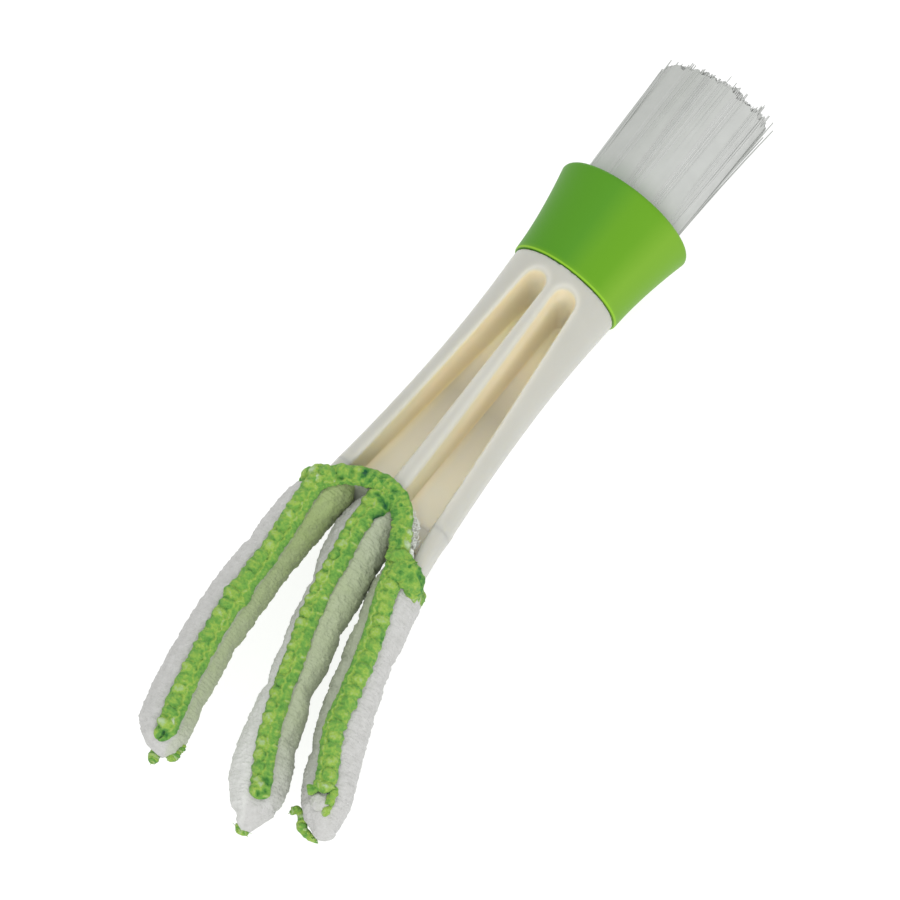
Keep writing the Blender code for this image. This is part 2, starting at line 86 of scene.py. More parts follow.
lens = bpy.data.cameras.new("studio_camera")
lens.lens = FOCAL_LENGTH
lens.sensor_width = SENSOR_WIDTH
lens.shift_x, lens.shift_y = PICTURE_SHIFT
lens.clip_start, lens.clip_end = CLIP_RANGE
camera = placed("studio_camera", lens)
turn = Matrix((picture_right, picture_up, to_camera)).transposed().to_4x4()
camera.matrix_world = Matrix.Translation(tool + VIEW_MIDDLE + to_camera * VIEW_DISTANCE) @ turn
bpy.context.scene.camera = camera
bpy.context.scene.view_settings.view_transform = "Standard"


def new_finish(name, roughness, **settings):
    """Material with a Principled shader, whose even values are set on the shader itself."""
    made = bpy.data.materials.new(name)
    made.use_nodes = True
    shader = made.node_tree.nodes["Principled BSDF"]
    shader.inputs["Roughness"].default_value = roughness
    for socket, value in settings.items():
        shader.inputs[socket.replace("_", " ")].default_value = value
    return made, made.node_tree.nodes, made.node_tree.links, shader


# The floor is a wide sheet of white board, lit by two soft boxes and the pale room.
FLOOR_HALF_SIZE = 3.0
BOARD_GREY = (0.30, 0.30, 0.30, 1.0)
BOARD_GLOW = 0.80
ROOM_GLOW = 0.96
WHITE = (1.0, 1.0, 1.0, 1.0)
floor_mesh = bpy.data.meshes.new("floor")
floor_mesh.from_pydata([(x * FLOOR_HALF_SIZE, y * FLOOR_HALF_SIZE, 0.0)
                        for x, y in ((-1, -1), (1, -1), (1, 1), (-1, 1))], [], [(0, 1, 2, 3)])
floor = placed("floor", floor_mesh)
board, nodes, links, shader = new_finish("white_board", 0.9)
shader.inputs["Base Color"].default_value = BOARD_GREY
shader.inputs["Emission Color"].default_value = WHITE
shader.inputs["Emission Strength"].default_value = BOARD_GLOW
floor_mesh.materials.append(board)

room = bpy.data.worlds.new("pale_room")
room.use_nodes = True
sky = room.node_tree.nodes["Background"]
sky.inputs["Color"].default_value = WHITE
sky.inputs["Strength"].default_value = ROOM_GLOW
bpy.context.scene.world = room


def soft_box(name, place, size, watts):
    """Square lamp behind a diffuser, aimed at the tool's middle."""
    lamp = bpy.data.lights.new(name, "AREA")
    lamp.shape = "SQUARE"
    lamp.size = size
    lamp.energy = watts
    made = placed(name, lamp)
    aim = tool + VIEW_MIDDLE
    made.location = aim + Vector(place)
    made.rotation_euler = (aim - made.location).to_track_quat("-Z", "Y").to_euler()


soft_box("soft_box_above", place=(-0.10, 0.10, 1.05), size=0.8, watts=2.2)
soft_box("soft_box_right", place=(0.75, -0.55, 0.60), size=0.7, watts=3.7)


def between(start, end, share):
    return start + (end - start) * share


def eased(share):
    share = np.clip(share, 0.0, 1.0)
    return share * share * (3.0 - 2.0 * share)


def uneven(points, size, seed):
    """Smooth chance value from -1 to 1 at every point, in lumps of about this size."""
    cell = np.asarray(points, float) / size + 4096.0
    corner = np.floor(cell).astype(np.int64)
    part = cell - corner
    part = part * part * (3.0 - 2.0 * part)
    total = np.zeros(cell.shape[:-1])
    for step in np.ndindex(2, 2, 2):
        spot = corner + step
        mixed = spot[..., 0] * 73856093 ^ spot[..., 1] * 19349663
        mixed = mixed ^ spot[..., 2] * 83492791 ^ seed * 9176543
        mixed = (mixed * 1103515245 + 12345) & 0x7FFFFFFF
        mixed = ((mixed ^ (mixed >> 13)) * 1274126177) & 0x7FFFFFFF
        weight = np.ones(cell.shape[:-1])
        for axis in range(3):
            weight = weight * (part[..., axis] if step[axis] else 1.0 - part[..., axis])
        total += weight * (mixed / 0x3FFFFFFF - 1.0)
    return total


def new_bag():
    """Gathers the points and faces of one piece, with a tone for every point."""
    return {"points": [], "faces": [], "tone": [], "count": 0}


def put_tube(bag, rows, tone=0.0):
    """Adds a closed tube through rings of equally many points."""
    rings, sides = rows.shape[:2]
    index = bag["count"] + np.arange(rings * sides).reshape(rings, sides)
    ahead = np.roll(index, -1, axis=1)
    quads = np.stack([index[:-1], ahead[:-1], ahead[1:], index[1:]], axis=-1)
    bag["points"].append(rows.reshape(-1, 3))
    bag["tone"].append(np.broadcast_to(tone, (rings, sides)).reshape(-1))
    bag["faces"] += quads.reshape(-1, 4).tolist()
    bag["faces"] += [index[0].tolist(), index[-1].tolist()]
    bag["count"] += rings * sides


def smoothed(mesh, finish, crease=60.0):
    """Gives a mesh its finish and rounds it, but for edges sharper than the crease."""
    mesh.materials.clear()
    mesh.materials.append(finish)
    mesh.shade_smooth()
    mesh.set_sharp_from_angle(angle=math.radians(crease))


def piece_from(bag, name, finish, crease=60.0):
    """Turns gathered points, which count from the tool's own axis, into a piece of the scene."""
    points = np.concatenate(bag["points"]) + np.array(tool)
    mesh = bpy.data.meshes.new(name)
    mesh.from_pydata(points.tolist(), [], bag["faces"])
    shape = bmesh.new()
    shape.from_mesh(mesh)
    bmesh.ops.recalc_face_normals(shape, faces=shape.faces)
    shape.to_mesh(mesh)
    shape.free()
    tone = mesh.attributes.new("tone", "FLOAT", "POINT")
    tone.data.foreach_set("value", np.concatenate(bag["tone"]).astype(np.float32))
    smoothed(mesh, finish, crease)
    return placed(name, mesh)


def section(half_across, half_up, squareness, sides):
    """Rounded section, from an oval to nearly a rectangle, as (across, up) columns."""
    angle = math.tau * np.arange(sides) / sides
    across, up = np.cos(angle), np.sin(angle)
    reach = (np.abs(across) ** squareness + np.abs(up) ** squareness) ** (-1.0 / squareness)
    return half_across * reach * across, half_up * reach * up


# The grain is one effect of every moulded and woven finish: a light and a dark colour in soft
# patches, and a fine height for the bump.
grain = bpy.data.node_groups.new("grain", "ShaderNodeTree")
for socket, kind, start in (("Light", "NodeSocketColor", (0.8, 0.8, 0.8, 1.0)),
                            ("Dark", "NodeSocketColor", (0.6, 0.6, 0.6, 1.0)),
                            ("Patch", "NodeSocketFloat", 100.0), ("Fine", "NodeSocketFloat", 2000.0),
                            ("Least", "NodeSocketFloat", 0.3), ("Most", "NodeSocketFloat", 0.7)):
    grain.interface.new_socket(socket, in_out="INPUT", socket_type=kind).default_value = start
for socket, kind in (("Colour", "NodeSocketColor"), ("Height", "NodeSocketFloat")):
    grain.interface.new_socket(socket, in_out="OUTPUT", socket_type=kind)
given = grain.nodes.new("NodeGroupInput")
result = grain.nodes.new("NodeGroupOutput")
place = grain.nodes.new("ShaderNodeTexCoord")
patches = grain.nodes.new("ShaderNodeTexNoise")
patches.inputs["Detail"].default_value = 3.0
fine = grain.nodes.new("ShaderNodeTexNoise")
fine.inputs["Detail"].default_value = 2.0
reach = grain.nodes.new("ShaderNodeMapRange")
tint = grain.nodes.new("ShaderNodeMix")
tint.data_type = "RGBA"
for start, end in ((place.outputs["Object"], patches.inputs["Vector"]),
                   (place.outputs["Object"], fine.inputs["Vector"]),
                   (given.outputs["Patch"], patches.inputs["Scale"]),
                   (given.outputs["Fine"], fine.inputs["Scale"]),
                   (patches.outputs["Fac"], reach.inputs["Value"]),
                   (given.outputs["Least"], reach.inputs["From Min"]),
                   (given.outputs["Most"], reach.inputs["From Max"]),
                   (reach.outputs["Result"], tint.inputs[0]),
                   (given.outputs["Light"], tint.inputs[6]),
                   (given.outputs["Dark"], tint.inputs[7]),
                   (tint.outputs[2], result.inputs["Colour"]),
                   (fine.outputs["Fac"], result.inputs["Height"])):
    grain.links.new(start, end)


def grained(nodes, light, dark, patch, fine_scale, least=0.3, most=0.7):
    """Places the grain in a material and returns it."""
    made = nodes.new("ShaderNodeGroup")
    made.node_tree = grain
    for socket, value in (("Light", (*light, 1.0)), ("Dark", (*dark, 1.0)), ("Patch", patch),
                          ("Fine", fine_scale), ("Least", least), ("Most", most)):
        made.inputs[socket].default_value = value
    return made


def marked(nodes, name):
    """The value of this name that the mesh carries at each of its points."""
    made = nodes.new("ShaderNodeAttribute")
    made.attribute_name = name
    return made.outputs["Fac"]


def ramped(nodes, links, value, places):
    """Colours along a value, each at its place from 0 to 1."""
    made = nodes.new("ShaderNodeValToRGB")
    made.color_ramp.elements[0].color = (*places[0][1], 1.0)
    made.color_ramp.elements[1].color = (*places[-1][1], 1.0)
    for spot, colour in places[1:-1]:
        made.color_ramp.elements.new(spot).color = (*colour, 1.0)
    links.new(value, made.inputs["Fac"])
    return made.outputs["Color"]


def fed(links, socket, given):
    """Gives a node's socket a value, or a link where what is given is another node's socket."""
    if isinstance(given, bpy.types.NodeSocket):
        links.new(given, socket)
    else:
        socket.default_value = given


def mixed_colour(nodes, links, share, first, second, way="MIX", limited=True):
    """Two colours mixed by a share, which stays from 0 to 1 where it is limited."""
    made = nodes.new("ShaderNodeMix")
    made.data_type = "RGBA"
    made.blend_type = way
    made.clamp_factor = limited
    for place, value in ((0, share), (6, first), (7, second)):
        fed(links, made.inputs[place], value)
    return made.outputs[2]


def bumped(nodes, links, shader, height, strength, distance):
    bump = nodes.new("ShaderNodeBump")
    bump.inputs["Strength"].default_value = strength
    bump.inputs["Distance"].default_value = distance
    links.new(height, bump.inputs["Height"])
    links.new(bump.outputs["Normal"], shader.inputs["Normal"])
    return bump


# The handle is one ivory moulding. Two slots are cored into its front, which leaves a rib down
# the middle, a plain back and soft edges all round; its end carries the three finger blades.
NECK_RADIUS = 0.0121
WAIST_HALF_WIDTH = 0.01145
WAIST_DROP = 0.018
MOUTH_HALF_WIDTH = 0.0138
MOUTH_HALF_DEPTH = 0.0054
HANDLE_LENGTH = 0.0565
FLARE_POWER = 1.75
FLATTEN_POWER = 1.6
NECK_SQUARENESS = 2.0
MOUTH_SQUARENESS = 3.4
HANDLE_SIDES = 96
HANDLE_RINGS = 46
SPIGOT_RINGS = 6
SPIGOT_RADIUS = 0.0108
SPIGOT_LENGTH = 0.007
CROTCH_DEPTH = 0.002
SLOT_TOP = 0.0024
SLOT_END_SETBACK = 0.0021
SLOT_DRAFT = 0.0011
SLOT_INNER = (0.0009, 0.0011)
SLOT_OUTER = (0.0058, 0.0108)
BACK_WALL = (0.0042, 0.0026)
ABOVE_HANDLE = 0.0165
CUT_OVERRUN = 0.004
VOXEL = 0.00028
# Cream colours painted into the slots as light soaking through the plastic; the deepest, most shaded parts get the
# brightest.
PAINTED_GLOW_CREAMS = ((0.0, (0.61, 0.58, 0.385)), (0.5, (0.86, 0.78, 0.575)), (1.0, (1.0, 0.93, 0.755)))

FINGERS = {
    "left": {"root_x": -0.0124, "heading": math.radians(-4.0), "bend_radius": 0.189, "length": 0.066},
    "middle": {"root_x": 0.0003, "heading": math.radians(3.0), "bend_radius": 0.176, "length": 0.0705},
    "right": {"root_x": 0.0126, "heading": math.radians(2.0), "bend_radius": 0.140, "length": 0.0635},
}
FINGER_ROOT_DROP = HANDLE_LENGTH + 0.0005


def bent(spec, reach, across, up):
    """Points beside a finger's bent centre line, counted from the tool's axis."""
    reach, across, up = np.broadcast_arrays(np.asarray(reach, float), across, up)
    angle = reach / spec["bend_radius"]
    x = spec["bend_radius"] * (1.0 - np.cos(angle)) + across * np.cos(angle)
    y = -spec["bend_radius"] * np.sin(angle) + across * np.sin(angle)
    cos, sin = math.cos(spec["heading"]), math.sin(spec["heading"])
    return np.stack([spec["root_x"] + x * cos - y * sin, -FINGER_ROOT_DROP + x * sin + y * cos, up], axis=-1)


def handle_ring(along, half_across, half_up, squareness):
    """One ring of the handle, at a place along the tool."""
    across, up = section(half_across, half_up, squareness, HANDLE_SIDES)
    return np.stack([across, np.full(HANDLE_SIDES, along), up], axis=-1)


def handle_rows():
    """Rings of the handle, from the end of its spigot to its mouth."""
    rows = [handle_ring(along, SPIGOT_RADIUS, SPIGOT_RADIUS, NECK_SQUARENESS)
            for along in np.linspace(SPIGOT_LENGTH, 0.0, SPIGOT_RINGS)]
    for drop in np.linspace(0.0, HANDLE_LENGTH, HANDLE_RINGS):
        if drop < WAIST_DROP:
            half_width = between(NECK_RADIUS, WAIST_HALF_WIDTH, math.sin(math.pi / 2 * drop / WAIST_DROP))
        else:
            flare = (drop - WAIST_DROP) / (HANDLE_LENGTH - WAIST_DROP)
            half_width = between(WAIST_HALF_WIDTH, MOUTH_HALF_WIDTH, flare ** FLARE_POWER)
        left = max(0.0, 1.0 - drop / HANDLE_LENGTH)
        half_depth = between(MOUTH_HALF_DEPTH, NECK_RADIUS, left ** FLATTEN_POWER)
        squareness = between(NECK_SQUARENESS, MOUTH_SQUARENESS, drop / HANDLE_LENGTH)
        rows.append(handle_ring(-drop, half_width, half_depth, squareness))
    return np.array(rows)


def slot_floor(share):
    """Height of the slots' floor, which is the inside of the handle's back wall."""
    return between(BACK_WALL[0] - NECK_RADIUS, BACK_WALL[1] - MOUTH_HALF_DEPTH, share)


def slot_rows(side):
    """Core of one slot: its plan at the floor and, wider by the draft, above the handle."""
    low_end = HANDLE_LENGTH + CUT_OVERRUN
    rows = []
    for inset, setback, height in ((SLOT_DRAFT, SLOT_END_SETBACK, None), (0.0, 0.0, ABOVE_HANDLE)):
        def inner(drop):
            return between(*SLOT_INNER, drop / HANDLE_LENGTH) + inset

        def outer(drop):
            return between(*SLOT_OUTER, drop / HANDLE_LENGTH) - inset

        end_radius = (outer(SLOT_TOP) - inner(SLOT_TOP)) / 2
        turn_drop = SLOT_TOP + setback + end_radius
        middle = (outer(turn_drop) + inner(turn_drop)) / 2
        half = (outer(turn_drop) - inner(turn_drop)) / 2
        plan = [(inner(low_end), -low_end)]
        for angle in np.linspace(math.pi, 0.0, 33):
            plan.append((middle + half * math.cos(angle), -turn_drop + end_radius * math.sin(angle)))
        plan.append((outer(low_end), -low_end))
        row = []
        for x, y in plan:
            row.append((side * x, y, slot_floor(-y / HANDLE_LENGTH) if height is None else height))
        rows.append(row)
    return np.array(rows)


def modelled(target):
    """The mesh that an object has once its modifiers have worked."""
    graph = bpy.context.evaluated_depsgraph_get()
    return bpy.data.meshes.new_from_object(target.evaluated_get(graph))


def scrap(*objects):
    for old in objects:
        bpy.data.objects.remove(old, do_unlink=True)


def points_of(mesh):
    """Places of a mesh's points, one to a row."""
    points = np.empty(len(mesh.vertices) * 3)
    mesh.vertices.foreach_get("co", points)
    return points.reshape(-1, 3)


def softened(mesh, rounds, share_at):
    """Evens the points of a mesh with their neighbours, by a share that differs from place to place."""
    points = points_of(mesh)
    ends = np.empty(len(mesh.edges) * 2, np.int64)
    mesh.edges.foreach_get("vertices", ends)
    ends = ends.reshape(-1, 2)
    count = np.bincount(ends.ravel(), minlength=len(points))[:, None]
    share = share_at(points)[:, None]
    for _ in range(rounds):
        total = np.stack([np.bincount(ends[:, 0], points[ends[:, 1], axis], len(points))
                          + np.bincount(ends[:, 1], points[ends[:, 0], axis], len(points))
                          for axis in range(3)], axis=-1)
        points = points + share * (total / count - points)
    mesh.vertices.foreach_set("co", points.ravel())
    mesh.update()


# The ivory's colour carries painted light: the depth mark whitens it as a painted highlight at the slots' edges and a
# painted glow inside them, and the tone mark mixes in the painted cream glow.
ivory, nodes, links, shader = new_finish("ivory_plastic", 0.36, Subsurface_Weight=0.6, Subsurface_Scale=0.0025,
                                         Subsurface_Radius=(1.0, 0.9, 0.65), IOR=1.3)
skin = grained(nodes, (1.0, 1.0, 1.0), (0.945, 0.943, 0.935), 60.0, 900.0, 0.35, 0.75)
depth = marked(nodes, "depth")
plain = ramped(nodes, links, depth, ((0.0, (0.478, 0.476, 0.430)), (1.0, (0.97, 0.95, 0.86))))
painted_glow_cream = ramped(nodes, links, depth, PAINTED_GLOW_CREAMS)
lit = mixed_colour(nodes, links, marked(nodes, "tone"), plain, painted_glow_cream)
body = mixed_colour(nodes, links, 1.0, lit, skin.outputs["Colour"], "MULTIPLY")
links.new(body, shader.inputs["Base Color"])
bumped(nodes, links, shader, skin.outputs["Height"], 0.05, 0.0002)

# Each blade's root: the way out, half thickness at the rail and along the blade, shift, half depth.
BLADE_ROOTS = {
    "left": (-1.0, 0.0019, 0.0013, 0.0005, 0.0046),
    "middle": (0.0, 0.0018, 0.0013, -0.0003, MOUTH_HALF_DEPTH),
    "right": (1.0, 0.0019, 0.0012, -0.0007, 0.0046),
}
BLADE_SQUARENESS = 5.0
INSIDE_SQUARENESS = 6.0
ROOT_REACHES = np.linspace(-0.003, 0.016, 20)
ROOT_SIDES = 40
WEB_PLAN = ((0.0030, -0.0558), (0.0058, -0.0564), (0.0074, -0.0586), (0.0088, -0.0606), (0.0102, -0.0617),
            (0.0118, -0.0620), (0.0120, -0.0556))
WEB_HEIGHTS = (-0.0048, -0.0028)

moulding = new_bag()
put_tube(moulding, handle_rows())
for side, (outward, thick, thin, shift, depth) in BLADE_ROOTS.items():
    rows = []
    for reach in ROOT_REACHES:
        slimmed = eased(reach / 0.010)
        root_depth = between(depth, MOUTH_HALF_DEPTH, eased((reach + 0.001) / 0.009))
        half_thick = between(thick, thin, slimmed)
        outside = section(half_thick, root_depth, between(2.1, BLADE_SQUARENESS, slimmed), ROOT_SIDES)
        inside = section(half_thick, root_depth, INSIDE_SQUARENESS, ROOT_SIDES)
        across, up = np.where(outside[0] * outward < 0.0, inside, outside)
        rows.append(bent(FINGERS[side], reach, across + shift * (1.0 - slimmed), up))
    put_tube(moulding, np.array(rows))
put_tube(moulding, np.array([[(x, y, z) for x, y in WEB_PLAN] for z in WEB_HEIGHTS]))
blank = piece_from(moulding, "blank", ivory)
cores = []
for side in (-1.0, 1.0):
    bag = new_bag()
    put_tube(bag, slot_rows(side))
    cores.append(piece_from(bag, "slot_core", ivory))
    bag = new_bag()
    crotch = HANDLE_LENGTH - CROTCH_DEPTH
    inner, outer = SLOT_INNER[1] + SLOT_DRAFT, SLOT_OUTER[1] - SLOT_DRAFT
    low = -HANDLE_LENGTH - CUT_OVERRUN
    beside_web = ((0.0040, -crotch), (0.0056, -HANDLE_LENGTH), (0.0072, -0.0588), (0.0072, low))
    plan = ((inner, -crotch), *beside_web, (inner, low))
    if side < 0:
        plan = ((inner, -crotch), (outer, -crotch), (outer, low), (inner, low))
    put_tube(bag, np.array([[(side * x, y, z) for x, y in plan] for z in (-ABOVE_HANDLE, ABOVE_HANDLE)]))
    cores.append(piece_from(bag, "crotch_core", ivory))
for core in cores:
    boolean = blank.modifiers.new(core.name, "BOOLEAN")
    boolean.operation = "DIFFERENCE"
    boolean.solver = "EXACT"
    boolean.use_self = True
    boolean.object = core
remesh = blank.modifiers.new("remesh", "REMESH")
remesh.mode = "VOXEL"
remesh.voxel_size = VOXEL
moulded = modelled(blank)
scrap(blank, *cores)


def edge_softness(points):
    """The moulding is roundest at the front edges of its slots, and keeps its floors and its shoulder crisp."""
    height = points[:, 2] - tool.z
    drop = tool.y - points[:, 1]
    above = eased((height - slot_floor(np.clip(drop / HANDLE_LENGTH, 0, 1)) - 0.0016) / 0.0035)
    return between(0.05, 0.6, above) * eased((drop + 0.0004) / 0.002)


softened(moulded, 26, edge_softness)


# The slots' round upper ends, their walls' and floors' painted glow from neck to mouth, for light
# soaking through the plastic, and how far and how strong the painted highlight past their edges is.
END_MIDDLE = 0.0035
END_DROP = 0.0050
END_RADIUS = 0.0026
GLOW_HALF_WIDTH = 0.0117
SLOT_MARGIN = 0.0004
PAINTED_HIGHLIGHT_REACH = 0.0006
PAINTED_HIGHLIGHT_STRENGTH = 0.18
WALL_PAINTED_GLOW = ((0.15, 0.5, 0.95), (1.0, 0.62, 0.10))
FLOOR_PAINTED_GLOW = ((0.25, 0.5, 0.74, 1.0), (1.0, 0.22, 0.44, 0.68))


def painted_slot_light(mesh):
    """Paints light into the colour: a cream glow in the slots, brightest in their shaded depths, and a highlight past
    their edges.
    """
    points = points_of(mesh) - np.array(tool)
    normals = np.empty(points.size)
    mesh.vertex_normals.foreach_get("vector", normals)
    flat = eased((normals.reshape(-1, 3)[:, 2] - 0.5) / 0.35)
    across, drop, height = points[:, 0], -points[:, 1], points[:, 2]
    beside = np.abs(across)
    share = np.clip(drop / HANDLE_LENGTH, 0.0, 1.0)
    half_depth = between(MOUTH_HALF_DEPTH, NECK_RADIUS, (1.0 - share) ** FLATTEN_POWER)
    half_width = between(GLOW_HALF_WIDTH, MOUTH_HALF_WIDTH, share ** FLARE_POWER)
    squareness = between(NECK_SQUARENESS, MOUTH_SQUARENESS, share)
    curve = np.clip(1.0 - np.abs(across / half_width) ** squareness, 0.0, 1.0)
    sunk = half_depth * curve ** (1.0 / squareness) - height
    inner, outer = between(*SLOT_INNER, share), between(*SLOT_OUTER, share)
    past_end = np.hypot(beside - END_MIDDLE, END_DROP - drop) - END_RADIUS
    beyond = np.where(drop < END_DROP, past_end, np.maximum(inner - beside, beside - outer))
    inside = (beyond < SLOT_MARGIN) & (height > slot_floor(share) - SLOT_MARGIN)
    # A painted highlight along the slots' front edges, fading down into each slot.
    painted_highlight = np.exp(-(np.maximum(beyond, 0.0) / PAINTED_HIGHLIGHT_REACH) ** 2) * (1.0 - 0.6 * share)
    painted_highlight = painted_highlight * (1.0 - eased(sunk / 0.0014)) * (height > 0.0)
    # The walls' painted glow grows with depth, to outshine their shade.
    wall = np.interp(share, *WALL_PAINTED_GLOW) * eased(sunk / 0.0010) * between(0.36, 1.0, eased(sunk / 0.0056))
    on_floor = flat * eased((sunk - 0.003) / 0.002)
    glow = between(wall, np.interp(share, *FLOOR_PAINTED_GLOW), on_floor)
    depth = np.maximum(PAINTED_HIGHLIGHT_STRENGTH * painted_highlight, np.where(inside, glow, 0.0))
    # The painted cream glow spreads onto the floor beside each wall; the rest of the floor gets less of it.
    beside_wall = across - np.where(across < 0.0, -outer, inner)
    soaked = (1.0 - eased((beside_wall - 0.0012) / 0.0018)) * eased((share - 0.35) / 0.3)
    plain = 0.85 * flat * eased((share - 0.1) / 0.3) * (1.0 - 0.55 * soaked)
    tone = np.where(inside, eased((sunk - 0.0002) / 0.0011) * (1.0 - plain), 0.0)
    # The depth mark carries the painted highlight and glow, the tone mark the share of painted cream.
    for name, values in (("depth", depth), ("tone", tone)):
        mesh.attributes.new(name, "FLOAT", "POINT").data.foreach_set("value", values.astype(np.float32))


BLADE_SPLIT = 0.0555
BETWEEN_BLADES = 0.006
blade_roots = {}
for name, keep_low, keep_high in (("handle", None, None), ("left", -1.0, -BETWEEN_BLADES),
                                  ("middle", -BETWEEN_BLADES, BETWEEN_BLADES), ("right", BETWEEN_BLADES, 1.0)):
    shape = bmesh.new()
    shape.from_mesh(moulded)
    bmesh.ops.bisect_plane(shape, geom=shape.verts[:] + shape.edges[:] + shape.faces[:],
                           plane_co=(0.0, tool.y - BLADE_SPLIT, 0.0), plane_no=(0.0, 1.0, 0.0),
                           clear_inner=name == "handle", clear_outer=name != "handle")
    if name != "handle":
        spare = [vert for vert in shape.verts if not keep_low <= vert.co.x - tool.x < keep_high]
        bmesh.ops.delete(shape, geom=spare, context="VERTS")
    bmesh.ops.holes_fill(shape, edges=[edge for edge in shape.edges if edge.is_boundary], sides=0)
    bmesh.ops.recalc_face_normals(shape, faces=shape.faces)
    mesh = bpy.data.meshes.new(name)
    shape.to_mesh(mesh)
    shape.free()
    painted_slot_light(mesh)
    smoothed(mesh, ivory)
    blade_roots[name] = mesh

handle = placed("handle_moulding", blade_roots["handle"])
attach(handle, "handle_and_brush")
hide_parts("handle")

# The finger blades are thin springy tongues of the same moulding, which bend at their roots. Each
# is split off where it leaves the handle and follows its finger's bent line.
BLADE_HALF_DEPTH = (0.0053, 0.0042)
BLADE_HALF_THICK = (0.0013, 0.0009)
BLADE_END_START = 0.0145
CLOTH_OVER_TIP = 0.0036
for side, spec in FINGERS.items():
    bag = new_bag()
    rows = []
    for reach in np.linspace(BLADE_END_START, spec["length"] - CLOTH_OVER_TIP, 14):
        share = reach / (spec["length"] - CLOTH_OVER_TIP)
        half_thick, half_depth = between(*BLADE_HALF_THICK, share), between(*BLADE_HALF_DEPTH, share)
        rows.append(bent(spec, reach, *section(half_thick, half_depth, BLADE_SQUARENESS, 24)))
    put_tube(bag, np.array(rows))
    far = piece_from(bag, "blade_end", ivory)
    shape = bmesh.new()
    shape.from_mesh(blade_roots[side])
    shape.from_mesh(far.data)
    mesh = bpy.data.meshes.new("finger_blade_" + side)
    shape.to_mesh(mesh)
    shape.free()
    scrap(far)
    smoothed(mesh, ivory)
    blade = placed("springy_blade_" + side, mesh)
    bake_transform(blade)
    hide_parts("finger_blade_" + side)

# The collar is a green satin moulding that sits over the handle's spigot and holds the brush
# block. It flares to a rolled rim. A thin bright line along its foot edge is a painted highlight,
# and its left side is painted darker and its right lighter as shade.
COLLAR_LENGTH = 0.0205
COLLAR_FOOT_RADIUS = 0.01255
COLLAR_RIM_RADIUS = 0.0154
RIM_ROUND = 0.0009
FOOT_ROUND = 0.00045
RIM_FLAT = 0.0011
BLOCK_RADIUS = 0.0116
BLOCK_THICKNESS = 0.007
RIM_INNER_ROUND = 0.0004
COLLAR_FLARE_POWER = 1.6
COLLAR_SIDES = 144
# Green from painted shade at 0 to the bright painted highlight of the foot line at 1; the side shade table paints the
# collar darker to the left of the view and lighter to the right.
GREEN_SHADE_AND_HIGHLIGHT = ((0.0, (0.084, 0.262, 0.0175)), (0.30, (0.119, 0.305, 0.0160)), (0.66, (0.176, 0.362, 0.030)),
                (1.0, (0.25, 0.49, 0.03)))
PAINTED_SIDE_SHADE_TABLE = ((-0.30, 0.0, 0.36, 0.66, 0.85, 1.0), (0.0, 0.28, 0.32, 0.66, 0.60, 0.5))
green, nodes, links, shader = new_finish("green_plastic", 0.42, IOR=1.2, Specular_IOR_Level=0.4)
skin = grained(nodes, (1.0, 1.0, 1.0), (0.93, 0.955, 0.93), 45.0, 700.0, 0.35, 0.75)
# The collar's green carries painted side shade and the foot line's painted highlight.
turned = ramped(nodes, links, marked(nodes, "tone"), GREEN_SHADE_AND_HIGHLIGHT)
body = mixed_colour(nodes, links, 1.0, turned, skin.outputs["Colour"], "MULTIPLY")
links.new(body, shader.inputs["Base Color"])
bumped(nodes, links, shader, skin.outputs["Height"], 0.06, 0.0002)

SHOWN_GAP = 0.00012
profile = [(SPIGOT_RADIUS + FIT_GAP, SHOWN_GAP)]
for angle in np.linspace(0.0, math.pi / 2, 7):
    profile.append((COLLAR_FOOT_RADIUS - FOOT_ROUND * (1.0 - math.sin(angle)),
                    SHOWN_GAP + FOOT_ROUND * (1.0 - math.cos(angle))))
for along in np.linspace(SHOWN_GAP + FOOT_ROUND, COLLAR_LENGTH - RIM_ROUND, 26)[1:]:
    flare = max(0.0, along / (COLLAR_LENGTH - RIM_ROUND)) ** COLLAR_FLARE_POWER
    profile.append((between(COLLAR_FOOT_RADIUS, COLLAR_RIM_RADIUS, flare), along))
for angle in np.linspace(0.0, math.pi / 2, 9)[1:]:
    profile.append((COLLAR_RIM_RADIUS - RIM_ROUND * (1.0 - math.cos(angle)),
                    COLLAR_LENGTH - RIM_ROUND * (1.0 - math.sin(angle))))
rim_inner = COLLAR_RIM_RADIUS - RIM_ROUND - RIM_FLAT
for angle in np.linspace(0.0, math.pi / 2, 5):
    profile.append((rim_inner + RIM_INNER_ROUND - RIM_INNER_ROUND * math.sin(angle),
                    COLLAR_LENGTH - RIM_INNER_ROUND * (1.0 - math.cos(angle))))
profile += [(BLOCK_RADIUS + FIT_GAP, SPIGOT_LENGTH + BLOCK_THICKNESS + 2 * FIT_GAP),
            (BLOCK_RADIUS + FIT_GAP, SPIGOT_LENGTH), (SPIGOT_RADIUS + FIT_GAP, SPIGOT_LENGTH)]
angle = math.tau * np.arange(COLLAR_SIDES) / COLLAR_SIDES
rows = np.array([np.stack([radius * np.cos(angle), np.full(COLLAR_SIDES, along), radius * np.sin(angle)],
                          axis=-1) for radius, along in profile])
bag = new_bag()
